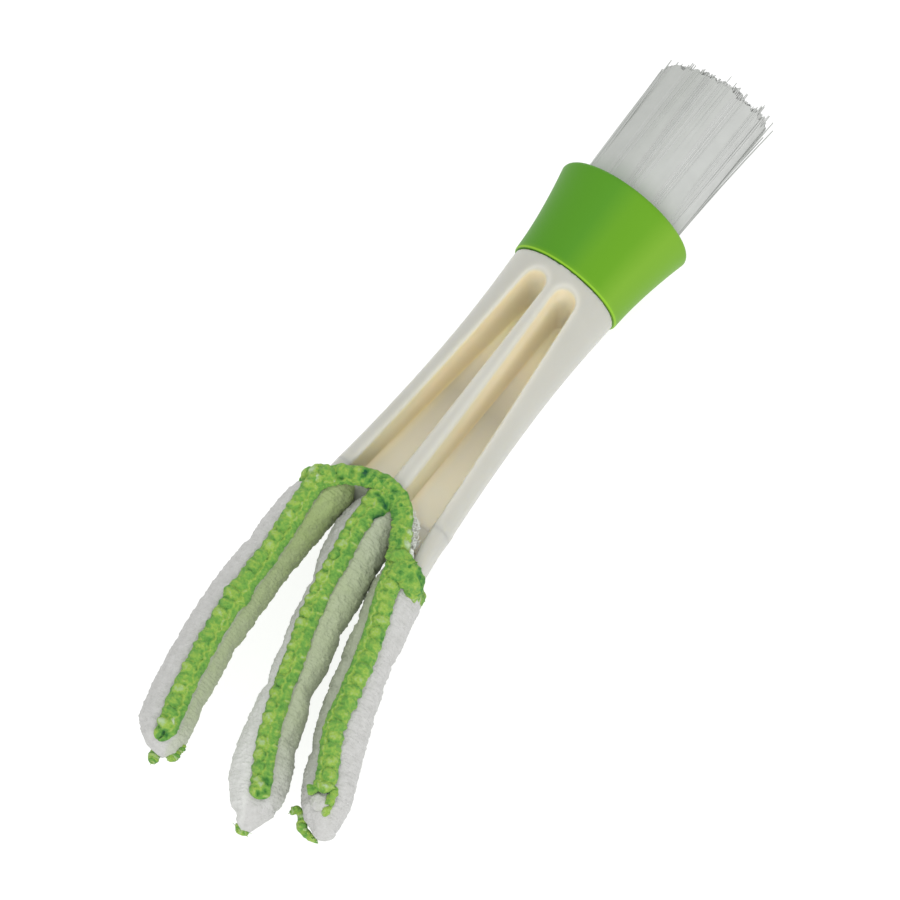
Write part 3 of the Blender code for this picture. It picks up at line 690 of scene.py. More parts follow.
# A thin painted highlight along the foot's rounding, over the painted side shade.
painted_foot_highlight = 1.0 - eased((rows[..., 1] - SHOWN_GAP - FOOT_ROUND * 0.5) / (FOOT_ROUND * 0.7))
painted_foot_highlight = painted_foot_highlight * (rows[..., 1] > SHOWN_GAP * 1.2)
sideways = np.stack([np.cos(angle), 0 * angle, np.sin(angle)], axis=-1) @ np.array(across_view)
painted_side_shade = np.interp(sideways, *PAINTED_SIDE_SHADE_TABLE)
put_tube(bag, rows, between(painted_side_shade[None, :], 1.0, painted_foot_highlight))
index = np.arange(rows.shape[0] * COLLAR_SIDES).reshape(-1, COLLAR_SIDES)
ahead = np.roll(index, -1, axis=1)
bag["faces"] = bag["faces"][:-2] + np.stack([index[-1], ahead[-1], ahead[0], index[0]], axis=-1).tolist()
collar = piece_from(bag, "flared_collar", green, 35.0)
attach(collar, "handle_and_brush")
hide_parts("collar")

# The brush block is a pale disc pressed into the collar, drilled for nineteen tufts. It is out of
# sight under the bristles, so the solid's own shape stays.
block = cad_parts["brush_block"]
block.data.materials.clear()
block.data.materials.append(ivory)

# The bristles are fine white nylon filaments. They are bundled into nineteen tufts, whose gaps
# show near the collar, and fray into one ragged mass at the tips with a few strays outside.
BRISTLE_LENGTH = 0.0372
TIP_DOME = 0.0016
FILAMENT_RADIUS = 0.00013
FILAMENT_PITCH = 0.00026
BUNDLE_RADIUS = 0.0018
RING_EDGES = (0.0, 0.0025, 0.0073, 0.0118)
RING_PITCH = 0.0045
SUNK_INTO_BLOCK = 0.001
RIM_FILAMENTS = 46
FILAMENT_SIDES = 5
FILAMENT_SHARES = (0.0, 0.06, 0.16, 0.35, 0.6, 0.8, 1.0)
CORE_SIDES = 48
CORE_SHARES = (0.0, 0.03, 0.06, 0.09, 0.12, 0.16, 0.35, 0.6, 0.8, 0.985)
SPREAD_POWER = 0.45
TIPS_SHIFT = 0.0005
TIPS_SLANT = 0.11
# The nylon is painted lighter towards the right and darker towards the left, as the side light falls.
PAINTED_SIDE_LIGHT = 8.0
STRAY_RADIUS = 0.00016
STRAY_TONE = 0.62
# Nylon from dark painted shade near the block, tinted green as by light off the collar, to its own white.
NYLON_AND_PAINTED_SHADE = ((0.0, (0.31, 0.40, 0.28)), (0.3, (0.40, 0.435, 0.39)), (0.5, (0.44, 0.455, 0.43)),
                (0.7, (0.475, 0.485, 0.47)), (1.0, (0.58, 0.585, 0.57)))
nylon, nodes, links, shader = new_finish("white_nylon", 0.45, Specular_IOR_Level=0.2)
streaks_and_painted_shade = ramped(nodes, links, marked(nodes, "tone"), NYLON_AND_PAINTED_SHADE)
mottle = grained(nodes, (1.0, 1.0, 1.0), (0.95, 0.95, 0.95), 350.0, 1500.0)
body = mixed_colour(nodes, links, 1.0, streaks_and_painted_shade, mottle.outputs["Colour"], "MULTIPLY")
links.new(body, shader.inputs["Base Color"])


def spread_out(disc, count, turn):
    """Where points of a round tuft's section come to lie at the tips, in its share of the whole brush."""
    length = np.hypot(disc[:, 0], disc[:, 1])
    if count == 1:
        return disc * RING_EDGES[1]
    towards = np.array((math.cos(turn), math.sin(turn)))
    outward = disc @ towards
    sideways = disc @ np.array((-towards[1], towards[0]))
    squared = length / np.maximum(np.maximum(np.abs(outward), np.abs(sideways)), 1e-9)
    inner, outer = RING_EDGES[1:3] if count == 6 else RING_EDGES[2:4]
    radius = between(inner, outer, (outward * squared + 1.0) / 2)
    angle = turn + sideways * squared * math.pi / count
    return np.stack([radius * np.cos(angle), radius * np.sin(angle)], axis=-1)


chance = np.random.default_rng(19)
block_top = SPIGOT_LENGTH + FIT_GAP + BLOCK_THICKNESS
ring = math.tau * np.arange(FILAMENT_SIDES) / FILAMENT_SIDES
tufts = [("tuft_centre", 0.0, 1, 0)]
tufts += [("tuft_inner_" + str(place + 1), RING_PITCH, 6, place) for place in range(6)]
tufts += [("tuft_outer_" + str(place + 1), 2 * RING_PITCH, 12, place) for place in range(12)]
for name, ring_radius, count, place in tufts:
    turn = math.tau * (place + (1 if count == 12 else 0.5 if count == 6 else 0)) / count
    towards = np.array((math.cos(turn), math.sin(turn)))
    centre = towards * ring_radius
    steps = np.arange(-9, 10)
    column, row = np.meshgrid(steps, steps)
    spots = np.stack([column + row / 2, row * math.sqrt(3.0) / 2], axis=-1).reshape(-1, 2) * FILAMENT_PITCH
    spots = spots[np.hypot(spots[:, 0], spots[:, 1]) < BUNDLE_RADIUS]
    rim = math.tau * (np.arange(RIM_FILAMENTS) + chance.uniform(-0.3, 0.3, RIM_FILAMENTS)) / RIM_FILAMENTS
    spots = np.concatenate([spots + chance.uniform(-0.3, 0.3, spots.shape) * FILAMENT_PITCH,
                            np.stack([np.cos(rim), np.sin(rim)], axis=-1) * BUNDLE_RADIUS * 0.99])
    total = len(spots)
    root = centre + spots
    lump = np.concatenate([root, np.zeros((total, 1))], axis=-1)
    sway = np.stack([uneven(lump, 0.0011, 3), uneven(lump, 0.0011, 4)], axis=-1) * 0.0001
    tip = spread_out(spots / BUNDLE_RADIUS, count, turn) + sway + chance.normal(0.0, 0.00006, (total, 2))
    stray = np.zeros(total, bool)
    flying = np.zeros((total, 2))
    if count == 12 and abs(towards @ np.array((across_view.x, across_view.z))) > 0.85:
        outermost = np.argsort(spots @ towards)[::-1][:6]
        stray[outermost[chance.random(6) < 0.35]] = True
        flying[stray] = towards * chance.uniform(0.0004, 0.0016, (stray.sum(), 1))
    thick = np.where(stray, STRAY_RADIUS, FILAMENT_RADIUS)
    tip[:, 0] -= TIPS_SHIFT
    dome = TIP_DOME * (np.hypot(tip[:, 0], tip[:, 1]) / 0.0130) ** 2 - TIPS_SLANT * tip[:, 0] - 0.0003
    length = BRISTLE_LENGTH - dome + uneven(lump, 0.0012, 5) * 0.0008 + chance.normal(0.0, 0.00025, total)
    length[stray] += chance.uniform(0.0004, 0.0016, stray.sum())
    proud = chance.random(total) < 0.05
    length[proud] += chance.uniform(0.0004, 0.0018, proud.sum())
    # Each filament's tone: painted side light across the brush, and a random spread.
    tone = 0.66 + PAINTED_SIDE_LIGHT * tip[:, 0] + 0.10 * uneven(lump, 0.0009, 6) + chance.normal(0.0, 0.06, total)
    tone = np.where(stray, STRAY_TONE, np.clip(tone, 0.3, 1.0))
    rows, tones = [], []
    for share in FILAMENT_SHARES:
        middle = between(root, tip, share ** SPREAD_POWER) + flying * share ** 2.2
        radius = (thick * (1.0 if share < 1.0 else 0.8))[:, None]
        along = block_top - SUNK_INTO_BLOCK + (length + SUNK_INTO_BLOCK) * share
        rows.append(np.stack([middle[:, :1] + radius * np.cos(ring),
                              np.repeat(along[:, None], FILAMENT_SIDES, axis=1),
                              middle[:, 1:] + radius * np.sin(ring)], axis=-1))
        # Filaments are painted darker near the block, as shade between the tufts.
        shaded = tone * between(0.55, 1.0, eased((share - 0.06) / 0.30))
        tones.append(np.repeat(shaded[:, None], FILAMENT_SIDES, axis=1))
    rows, tones = np.array(rows), np.array(tones)
    bag = new_bag()
    for each in range(total):
        put_tube(bag, rows[:, each], tones[:, each])
    turn_round = math.tau * np.arange(CORE_SIDES) / CORE_SIDES
    disc = np.stack([np.cos(turn_round), np.sin(turn_round)], axis=-1)
    far = spread_out(disc, count, turn)
    grainy = np.concatenate([far, np.zeros((CORE_SIDES, 1))], axis=-1)
    core, core_tone = [], []
    for share in CORE_SHARES:
        spread = share ** SPREAD_POWER
        filled = far * (between(2 * RING_PITCH + BUNDLE_RADIUS, RING_EDGES[3], spread) + 0.00003) / RING_EDGES[3]
        filled = filled - np.array((TIPS_SHIFT, 0.0)) * spread
        spot = between(centre + disc * BUNDLE_RADIUS * 0.93, filled, eased(share / 0.12))
        ragged = 0.0010 * uneven(grainy, 0.0008, 7) * (share > 0.9)
        tall = BRISTLE_LENGTH - TIP_DOME * 0.7 + SUNK_INTO_BLOCK + TIPS_SLANT * spot[:, 0]
        along = block_top - SUNK_INTO_BLOCK + tall * share + ragged
        core.append(np.stack([spot[:, 0], along, spot[:, 1]], axis=-1))
        # The core is painted darker near the block, as shade between the tufts, and lighter to the right as side light.
        core_tone.append(between(0.18, 0.60, eased((share - 0.10) / 0.26)) + PAINTED_SIDE_LIGHT * spot[:, 0]
                         + 0.08 * uneven(grainy, 0.0005, 8))
    put_tube(bag, np.array(core), np.array(core_tone))
    tuft = piece_from(bag, name.replace("tuft", "bristles"), nylon)
    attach(tuft, "handle_and_brush")
    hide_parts(name)

# The sleeve is thick white terry, cut as a three-fingered glove and pulled over the blades. Its
# pile lies in fine rows across each finger, and its mouth is cut aslant at the outer fingers.
SEAM_PATHS = {
    "left": ((4.0, -0.4), (10, 0.2), (18, 1.2), (24, 1.4), (33, 1.05), (40, 1.0), (48, 1.0), (57, 1.2),
             (60.5, 1.5), (63, 1.3), (65.2, 0.5)),
    "middle": ((-0.4, -1.2), (2.6, -1.5), (8, -2.0), (15, -1.55), (23, -1.5), (30, -1.0), (37, -0.2), (44, 0.0),
               (52, 0.5), (59, 1.5), (62, 2.0), (65.1, 1.9)),
    "right": ((6.0, -4.7), (11, -3.1), (15, -2.3), (18, -1.6), (21.5, -0.8), (28, 0.1), (35.5, 0.0), (41, -0.4),
              (44.6, -0.3), (51, 0.7), (56.0, 1.0)),
}
# Each finger: its cover's edges, its mouth, and painted shade beside its seam on each side, where a value below nought
# is painted light.
SLEEVES = {
    "left": {
        "low": ((0, -3.4), (5, -4.3), (7.5, -4.6), (15, -4.75), (22, -4.95), (26, -5.2), (31, -5.4), (44, -5.86),
                (52, -5.75), (61.3, -5.5), (64, -3.7), (65.6, -2.1), (66.4, -0.8), (66.9, 0.5)),
        "high": ((0, 6.9), (7.5, 6.6), (11, 6.3), (15, 6.1), (24, 5.9), (31, 5.7), (41, 5.3), (45, 5.2), (54, 5.1),
                 (57, 5.2), (62.4, 5.1), (64.9, 3.9), (66.3, 2.9), (66.9, 2.2)),
        "mouth": ((-1, 5.7), (-0.7, 5.0), (-0.4, 4.2), (0.0, 3.3), (0.3, 1.8), (0.7, 0.6), (1, 0.1)),
        "low_shade": ((0, 0.0), (67, 0.0)),
        "high_shade": ((0, 1.15), (12, 1.2), (30, 0.98), (58, 0.72), (65, 0.35)),
    },
    "middle": {
        "low": ((0, -5.4), (4.6, -6.5), (7.5, -7.1), (9.5, -6.9), (12.5, -6.6), (16, -6.1), (20, -5.3), (25, -4.95),
                (34, -4.65), (42, -4.6), (52, -5.15), (57, -5.5), (61.4, -5.0), (65.8, -3.5), (66.9, -2.5),
                (68.6, -1.8), (69.4, -1.1), (70.1, -0.5)),
        "high": ((0, 4.8), (14, 5.5), (19, 5.4), (27, 5.1), (35, 5.5), (41, 5.2), (45, 5.7), (52, 5.55), (56.5, 6.3),
                 (59.9, 6.5), (63.2, 6.1), (66.1, 4.9), (68.2, 3.6), (69.5, 2.3), (70.1, 1.7)),
        "mouth": ((-1, -0.6), (0.3, -0.6), (1, 1.0)),
        "low_shade": ((0, 0.1), (25, -0.3), (50, -0.5), (70, -0.3)),
        "high_shade": ((0, 0.55), (20, 0.80), (48, 0.70), (60, 0.25), (66, 0.0)),
    },
    "right": {
        "low": ((0, -5.6), (8, -6.1), (12.6, -6.6), (17.6, -6.05), (21, -5.55), (25, -5.3), (29, -4.83), (34.5, -4.83),
                (42, -4.6), (47, -4.0), (52, -4.0), (54.8, -3.6), (57.6, -3.1), (59.7, -2.2), (61.2, -1.2),
                (62.7, -0.3), (63.4, 0.6)),
        "high": ((0, 2.4), (9.4, 3.1), (14, 4.0), (22, 4.55), (26, 4.6), (31, 4.85), (37, 5.45), (47, 5.9), (53, 6.1),
                 (56.4, 6.0), (60.4, 5.15), (61.9, 4.7), (63.0, 3.9), (63.4, 3.3)),
        "mouth": ((-1, 2.0), (-0.8, 3.4), (-0.6, 6.0), (0, 7.8), (0.6, 9.2), (1, 10.2)),
        "low_shade": ((0, 0.7), (20, 0.62), (45, 0.35), (60, 0.0)),
        "high_shade": ((0, 0.0), (64, 0.0)),
    },
}
CLOTH_HALF_DEPTH = 0.0062
CLOTH_ROUND = 0.0062
TIP_ROUNDNESS = 0.955
THREAD_HALF_WIDTH = 0.0021
ROW_PITCH = 0.00078
OUTLINE_SHARE = 0.99
# SHADED_TERRY is painted shade for the fingers' inner faces, olive as though green light bounced between the fingers;
# the second white is painted light, also laid on the loose fluff.
SHADED_TERRY = (0.325, 0.395, 0.200, 1.0)
FLUFF_AND_PAINTED_LIGHT = (0.75, 0.77, 0.73, 1.0)
terry, nodes, links, shader = new_finish("white_terry", 0.95, Sheen_Weight=0.15, Sheen_Roughness=0.5,
                                         Specular_IOR_Level=0.15)
pile = grained(nodes, (0.515, 0.515, 0.502), (0.452, 0.452, 0.436), 700.0, 2600.0, 0.3, 0.7)
shade = marked(nodes, "tone")


def worked_out(nodes, links, operation, *values):
    """Result of a sum on values, each a number or another node's socket."""
    made = nodes.new("ShaderNodeMath")
    made.operation = operation
    for place, value in enumerate(values):
        fed(links, made.inputs[place], value)
    return made.outputs["Value"]


# A tone above nought is painted shade, which may pass 1. A tone below nought is painted light: it
# whitens the middle finger's side and the loose fluff, which lies in shade.
shaded = mixed_colour(nodes, links, worked_out(nodes, links, "MAXIMUM", shade, 0.0), pile.outputs["Colour"],
                      SHADED_TERRY, limited=False)
fluff_and_painted_light = mixed_colour(nodes, links, worked_out(nodes, links, "MULTIPLY", shade, -1.0), shaded, FLUFF_AND_PAINTED_LIGHT)
links.new(fluff_and_painted_light, shader.inputs["Base Color"])
loops = nodes.new("ShaderNodeTexVoronoi")
loops.inputs["Scale"].default_value = 1900.0
where = nodes.new("ShaderNodeTexCoord")
links.new(where.outputs["Object"], loops.inputs["Vector"])
bumped(nodes, links, shader, loops.outputs["Distance"], 0.5, 0.0003).invert = True


def read_off(table, value):
    """Value of a small table of places and widths, in metres, at each reach."""
    table = np.array(table)
    return np.interp(value * 1000.0, table[:, 0], table[:, 1]) / 1000.0


def cover_at(cover, reach):
    """Both edges of a finger's cover at each reach, how far round the tip that is, and the depth's share there."""
    low, high = (read_off(cover[margin], reach) * OUTLINE_SHARE for margin in ("low", "high"))
    tip = cover["low"][-1][0] / 1000.0
    rounded = np.clip((reach - (tip - CLOTH_ROUND)) / CLOTH_ROUND, 0.0, 1.0)
    return low, high, rounded, np.sqrt(1.0 - (TIP_ROUNDNESS * rounded) ** 2)


def unit(ways):
    """Directions with a length of one."""
    return ways / np.maximum(np.linalg.norm(ways, axis=-1, keepdims=True), 1e-9)


def put_knot(bag, spot, along, size, seed, tone, rough=0.3, pit=0.0):
    """Adds a small soft lump of tangled yarn or pile, with a hollow on top, painted darker as shade, where it has a
    pit.
    """
    along = np.array([along[0], along[1], 0.0]) / math.hypot(*along)
    beside = np.array([-along[1], along[0], 0.0])
    lat = np.linspace(-0.495 * math.pi, 0.495 * math.pi, 22)[:, None]
    lon = (math.tau * np.arange(30) / 30)[None, :]
    u, v, w = np.sin(lat) + 0 * lon, np.cos(lat) * np.cos(lon), np.cos(lat) * np.sin(lon)
    shape = np.stack([u * size[0], v * size[1], w * size[2]], axis=-1)
    bulge = 1.0 + rough * uneven(shape, 0.0008, seed) + 0.4 * rough * uneven(shape, 0.0004, seed + 1)
    crown = np.exp(-((u / 0.5) ** 2 + (v / 0.45) ** 2)) * (w > 0)
    bulge = bulge * (1.0 - 0.45 * pit * crown)
    rows = np.asarray(spot) + bulge[..., None] * (shape[..., :1] * along + shape[..., 1:2] * beside
                                                  + shape[..., 2:] * np.array([0.0, 0.0, 1.0]))
    put_tube(bag, rows, tone + 0.12 * uneven(shape, 0.0006, seed + 2) - 0.5 * pit * crown)


def put_yarn(bag, path, radius, tone, sides=7, guide=(0.0, 0.0, 1.0)):
    """Adds one strand along a path. The guide is a direction that the path never takes."""
    path = np.asarray(path)
    tangent = unit(np.gradient(path, axis=0))
    over = unit(np.cross(tangent, guide))
    beside = np.cross(tangent, over)
    turn = math.tau * np.arange(sides) / sides
    radius = np.broadcast_to(radius, len(path))[:, None, None]
    round_path = over[:, None] * np.cos(turn)[None, :, None] + beside[:, None] * np.sin(turn)[None, :, None]
    put_tube(bag, path[:, None] + radius * round_path, np.broadcast_to(np.asarray(tone), len(path))[:, None])


SLEEVE_RINGS = 440
SLEEVE_SIDES = 108
SLACK_SHARE = 0.95
SOLVER_SCALE = 25.0
FILL_PRESSURE = 4.0
SPARE_CLOTH = -0.03
MOST_SWELL = 0.0004
LAST_MOMENT = 20


def filled_out(rows, held, skip):
    """How far each point of a closed cloth tube moves once it is filled, found with Blender's cloth.

    The solver is made for cloth by the metre, so a thinned net of the tube is enlarged for it. Its
    answer is capped, brought back to size and spread over all the points.
    """
    net = rows[::skip[0], ::skip[1]] * SOLVER_SCALE
    bag = new_bag()
    put_tube(bag, net)
    slack = piece_from(bag, "slack_cloth", terry)
    pinned = np.flatnonzero(held[::skip[0], ::skip[1]].ravel()).tolist()
    slack.vertex_groups.new(name="held").add(pinned, 1.0, "REPLACE")
    cloth = slack.modifiers.new("cloth", "CLOTH").settings
    cloth.use_pressure = True
    cloth.uniform_pressure_force = FILL_PRESSURE
    cloth.effector_weights.gravity = 0.0
    cloth.vertex_group_mass = "held"
    cloth.shrink_min = SPARE_CLOTH
    for moment in range(1, LAST_MOMENT + 1):
        bpy.context.scene.frame_set(moment)
    points = points_of(modelled(slack))
    bpy.context.scene.frame_set(1)
    scrap(slack)
    move = (points.reshape(net.shape) - np.array(tool) - net) / SOLVER_SCALE
    far = np.linalg.norm(move, axis=-1, keepdims=True)
    move = move * np.minimum(1.0, MOST_SWELL / np.maximum(far, 1e-9))
    ring = np.arange(rows.shape[0]) / skip[0]
    low = np.minimum(ring.astype(int), net.shape[0] - 2)
    along = np.clip(ring - low, 0.0, 1.0)[:, None, None]
    lane = np.arange(rows.shape[1]) / skip[1]
    first = lane.astype(int)
    beside = (lane - first)[None, :, None]
    second = (first + 1) % net.shape[1]
    moved = between(between(move[low][:, first], move[low + 1][:, first], along),
                    between(move[low][:, second], move[low + 1][:, second], along), beside)
    moved = sum(np.roll(moved, step, axis=0) for step in range(1 - skip[0], skip[0])) / (2 * skip[0] - 1)
    return sum(np.roll(moved, step, axis=1) for step in range(1 - skip[1], skip[1])) / (2 * skip[1] - 1)


for side, spec in FINGERS.items():
    cover = SLEEVES[side]
    end = cover["low"][-1][0] / 1000.0
    angle = math.tau * np.arange(SLEEVE_SIDES) / SLEEVE_SIDES
    share = np.linspace(0.0, 1.0, SLEEVE_RINGS)[:, None]
    mouth_table = np.array(cover["mouth"])
    start = np.interp(np.cos(angle), mouth_table[:, 0], mouth_table[:, 1])[None, :] / 1000.0
    reach = start + (end - start) * share
    low, high, _, tip_scale = cover_at(cover, reach)
    mouth = between(0.86, 1.0, eased((reach - start) / 0.004))
    flat_x, flat_z = section(1.0, 1.0, 2.0, SLEEVE_SIDES)
    across = (high + low) / 2 + flat_x[None, :] * (high - low) / 2 * mouth * SLACK_SHARE
    up = flat_z[None, :] * CLOTH_HALF_DEPTH * between(0.9, 1.0, mouth) * tip_scale
    rough = bent(spec, reach, across, up)
    lumps = uneven(np.stack([reach + 0 * angle, np.cos(angle) * 0.005 + 0 * reach,
                             np.sin(angle) * 0.005 + 0 * reach], axis=-1), 0.0014, 11)
    rows_at = reach / ROW_PITCH + 0.45 * uneven(rough, 0.0016, 12)
    ribs = np.abs(np.sin(math.pi * rows_at)) ** 0.7
    seam_at = np.interp(reach * 1000.0, *np.array(SEAM_PATHS[side]).T) / 1000.0
    clear_of_seam = eased((np.abs(across - seam_at) - 0.0016) / 0.0012)
    swell = 0.00014 * lumps + 0.000105 * (ribs - 0.6) + 0.00021 * uneven(rough, 0.0006, 13)
    swell = swell * between(0.3, 1.0, clear_of_seam) - 0.0003 * (1.0 - clear_of_seam)
    swell = swell * np.clip(tip_scale * 1.4, 0.35, 1.0)
    norm = np.hypot(flat_x, flat_z)
    out_x, out_z = (flat_x / norm)[None, :], (flat_z / norm)[None, :]
    points = bent(spec, reach, across + swell * out_x, up + swell * out_z)
    held = (np.abs(across - seam_at) < 0.0017) | (share < 0.02) | (share > 0.985)
    points = points + filled_out(rough, held, (5, 3))
    beyond = THREAD_HALF_WIDTH - 0.0006
    # Painted shade on the faces either side of each seam; below nought it is painted light.
    shading = (read_off(cover["high_shade"], reach) * 1000.0 * eased((across - seam_at - beyond) / 0.0009)
               + read_off(cover["low_shade"], reach) * 1000.0 * eased((seam_at - beyond - across) / 0.0009))
    bag = new_bag()
    put_tube(bag, points, shading * (0.95 + 0.05 * lumps))
    # The right finger has a terry lump at its seam's end, painted a little shaded.
    if side == "right":
        put_knot(bag, bent(spec, 0.0576, 0.0006, 0.0056), (1.0, 0.3), (0.0019, 0.0018, 0.0009), 17, 0.1, 0.15)
    sleeve = piece_from(bag, "terry_finger_" + side, terry)
    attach(sleeve, side + "_finger")
    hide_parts("finger_cloth_" + side)

# The crotch cloth is the same terry where it folds round the web between two fingers: a soft wall
# under the hem, the left one painted in shade. Loose white fluff stands out of it beside the
# right-hand hem, painted whiter as light since it lies in shade.
FOLD_HALF_THICK = 0.0013
FOLD_STATIONS = 48
FOLD_SIDES = 56
FLUFF_FIBRES = 170
# Each fold: its line in plan, how far its foot leans, its painted shade, and the heights of its foot and top.
FOLDS = {
    "left": (((-0.0104, -0.0582), (-0.0080, -0.0572), (-0.0060, -0.0568), (-0.0040, -0.0571), (-0.0022, -0.0576)),
             0.0034, 0.35, -0.0052, 0.0046),
    "right": (((0.0020, -0.0562), (0.0040, -0.0571), (0.0058, -0.0588), (0.0073, -0.0608), (0.0086, -0.0631)),
              0.0, 0.0, -0.0024, 0.0048),
}
for side, (plan, lean_most, tone, foot, top) in FOLDS.items():
    plan = np.array(plan)
    place = np.linspace(0.0, 1.0, FOLD_STATIONS)
    marks = np.linspace(0.0, 1.0, len(plan))
    line = np.stack([np.interp(place, marks, plan[:, axis]) for axis in (0, 1)], axis=-1)
    way = unit(np.gradient(line, axis=0))
    rows = []
    for share, (x, y), (dx, dy) in zip(place, line, way):
        squeeze = math.sqrt(max(0.02, 1.0 - (1.96 * share - 0.98) ** 6))
        thick, up = section(1.0, 1.0, 4.0, FOLD_SIDES)
        up = between(foot, top, (up + 1.0) / 2) * squeeze
        lean = lean_most * eased((0.003 - up) / 0.008)
        thick = thick * FOLD_HALF_THICK * squeeze
        rows.append(np.stack([x - dy * thick, y + dx * thick - lean, up], axis=-1))
    rows = np.array(rows)
    away = unit(rows - rows.mean(axis=1, keepdims=True))
    rough = rows
    rows = rows + away * (0.00022 * uneven(rows, 0.0008, 21) + 0.00012 * uneven(rows, 0.0004, 22))[..., None]
    held = np.zeros(rows.shape[:2], bool)
    held[:4] = held[-4:] = True
    rows = rows + 0.5 * filled_out(rough, held, (2, 2))
    bag = new_bag()
    put_tube(bag, rows, tone)
    if side == "right":
        chance = np.random.default_rng(76)
        for _ in range(FLUFF_FIBRES):
            along = chance.uniform(0.22, 1.0)
            x, y = (np.interp(along, marks, plan[:, axis]) for axis in (0, 1))
            out_by = chance.uniform(0.0006, 0.0023)
            spot = np.array((x + out_by * 0.77, y + out_by * 0.64, chance.uniform(0.0030, 0.0052)))
            heading = chance.uniform(0.0, math.tau)
            lap = np.linspace(0.0, 1.0, 9)[:, None]
            bend = heading + chance.uniform(-2.2, 2.2) * lap ** 2
            step = np.concatenate([np.cos(bend), np.sin(bend), 0.4 * np.sin(3.0 * lap)], axis=1)
            put_yarn(bag, spot + step * lap * chance.uniform(0.0004, 0.0011), 0.00008, -1.0, sides=4,
                     guide=(0.1, 0.2, 0.97))
        put_knot(bag, (0.0099, -0.0636, 0.0045), (0.5, 1.0), (0.0013, 0.0011, 0.0015), 18, -1.0, 0.4)
    fold = piece_from(bag, "terry_fold_" + side, terry)
    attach(fold, "handle_and_brush")
    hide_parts("crotch_cloth_" + side)

# The overlocked edge is fluffy green yarn sewn over the cloth's raw edge. Plump loops lie in a
# column, a thin chain runs beside them, and a plain selvage closes the other side.
# The yarn's greens from dark to pale: its tone mixes the yarn's own variation with painted shade in creases and pits
# and painted highlights on the loops' crowns.
YARN_AND_PAINTED_LIGHT = ((0.0, (0.012, 0.092, 0.036)), (0.18, (0.055, 0.205, 0.036)), (0.42, (0.145, 0.335, 0.058)),
               (0.62, (0.285, 0.440, 0.070)), (0.80, (0.330, 0.475, 0.230)), (1.0, (0.48, 0.58, 0.38)))
yarn, nodes, links, shader = new_finish("green_thread", 0.85, Sheen_Weight=0.1, Specular_IOR_Level=0.15)
fibre = nodes.new("ShaderNodeTexNoise")
fibre.inputs["Scale"].default_value = 2100.0
fibre.inputs["Detail"].default_value = 4.0
fibre.inputs["Roughness"].default_value = 0.65
where = nodes.new("ShaderNodeTexCoord")
links.new(where.outputs["Object"], fibre.inputs["Vector"])
speckled = worked_out(nodes, links, "MULTIPLY_ADD", fibre.outputs["Fac"], 0.55, marked(nodes, "tone"))
speckled = worked_out(nodes, links, "SUBTRACT", speckled, 0.27)
links.new(ramped(nodes, links, speckled, YARN_AND_PAINTED_LIGHT), shader.inputs["Base Color"])
bumped(nodes, links, shader, fibre.outputs["Fac"], 0.8, 0.0004)


class Edge:
    """A cloth edge that yarn is sewn along: a path, the way that faces out of the cloth, and its width."""

    def __init__(self, path, outward, ridge=0.0045):
        self.path = np.asarray(path, float)
        self.run = np.concatenate([[0.0], np.cumsum(np.linalg.norm(np.diff(self.path, axis=0), axis=1))])
        self.length = self.run[-1]
        tangent = unit(np.gradient(self.path, self.run, axis=0))
        rise = np.asarray(outward, float)
        self.rise = unit(rise - tangent * (rise * tangent).sum(axis=1, keepdims=True))
        self.width = np.cross(tangent, self.rise)
        self.ridge = ridge

    def held(self, values, run):
        return np.stack([np.interp(run, self.run, values[:, axis]) for axis in range(3)], axis=-1)

    def at(self, run, across, height):
        """Points at a run along the edge, across it and above it, wrapped round the cloth's ridge."""
        run, across, height = np.broadcast_arrays(np.asarray(run, float), across, height)
        lean = across / self.ridge
        sideways = (self.ridge + height) * np.sin(lean)
        upward = (self.ridge + height) * np.cos(lean) - self.ridge
        return (self.held(self.path, run) + self.held(self.width, run) * sideways[..., None]
                + self.held(self.rise, run) * upward[..., None])


BAND_STEP = 0.00017
BAND_HEIGHT = 0.0006
BAND_UNDERSIDE = 0.0007
BAND_END = 0.0018
PIT_DEPTH = 0.0007
PIT_SHADE = 0.42


def put_band(bag, edge, half_width, pattern, pits=()):
    """Adds one sewn band along an edge. Its pattern gives the relief, tone and outline at each place.

    A pit is a hollow at a place, painted darker as shade, or a raised knob painted lighter where its depth is below
    nought.
    """
    run = np.linspace(0.0, edge.length, int(edge.length / BAND_STEP))[:, None]
    over = np.cos(np.linspace(0.0, math.pi, 57))
    side = np.concatenate([over, -over[1:-1][::4]])[None, :]
    top = (np.arange(side.size) < len(over))[None, :]
    arch = np.sqrt(np.clip(1.0 - side ** 2, 0.0, 1.0))
    wide = half_width(run) if callable(half_width) else half_width
    relief, tone, outline = pattern(*np.broadcast_arrays(run, side))
    from_end = np.minimum(run, edge.length - run) / BAND_END
    close = np.sqrt(np.maximum(1.0 - np.clip(1.0 - from_end, 0.0, 0.985) ** 2, 0.0))
    flat = edge.at(run, wide * side, 0.0)
    sunk = np.zeros(tone.shape)
    for x, y, radius, depth in pits:
        sunk = sunk + depth * np.exp(-((flat[..., 0] - x) ** 2 + (flat[..., 1] - y) ** 2) / radius ** 2)
    sunk = np.clip(sunk, -1.0, 1.0)
    raised = (BAND_HEIGHT * arch + relief * np.sqrt(arch)) * close - PIT_DEPTH * sunk
    height = np.where(top, raised, -BAND_UNDERSIDE * arch)
    put_tube(bag, edge.at(run, wide * side * outline * close, height), tone - PIT_SHADE * sunk)


def ragged_outline(run, side, seed, raggedness):
    """Share of its width that a band reaches at each place, uneven on both of its sides."""
    margin = np.stack([run, np.sign(side) * 0.002, 0 * run], axis=-1)
    return 1.0 + raggedness * uneven(margin, 0.0009, seed + 5) + 0.05 * uneven(margin, 0.0004, seed + 7)


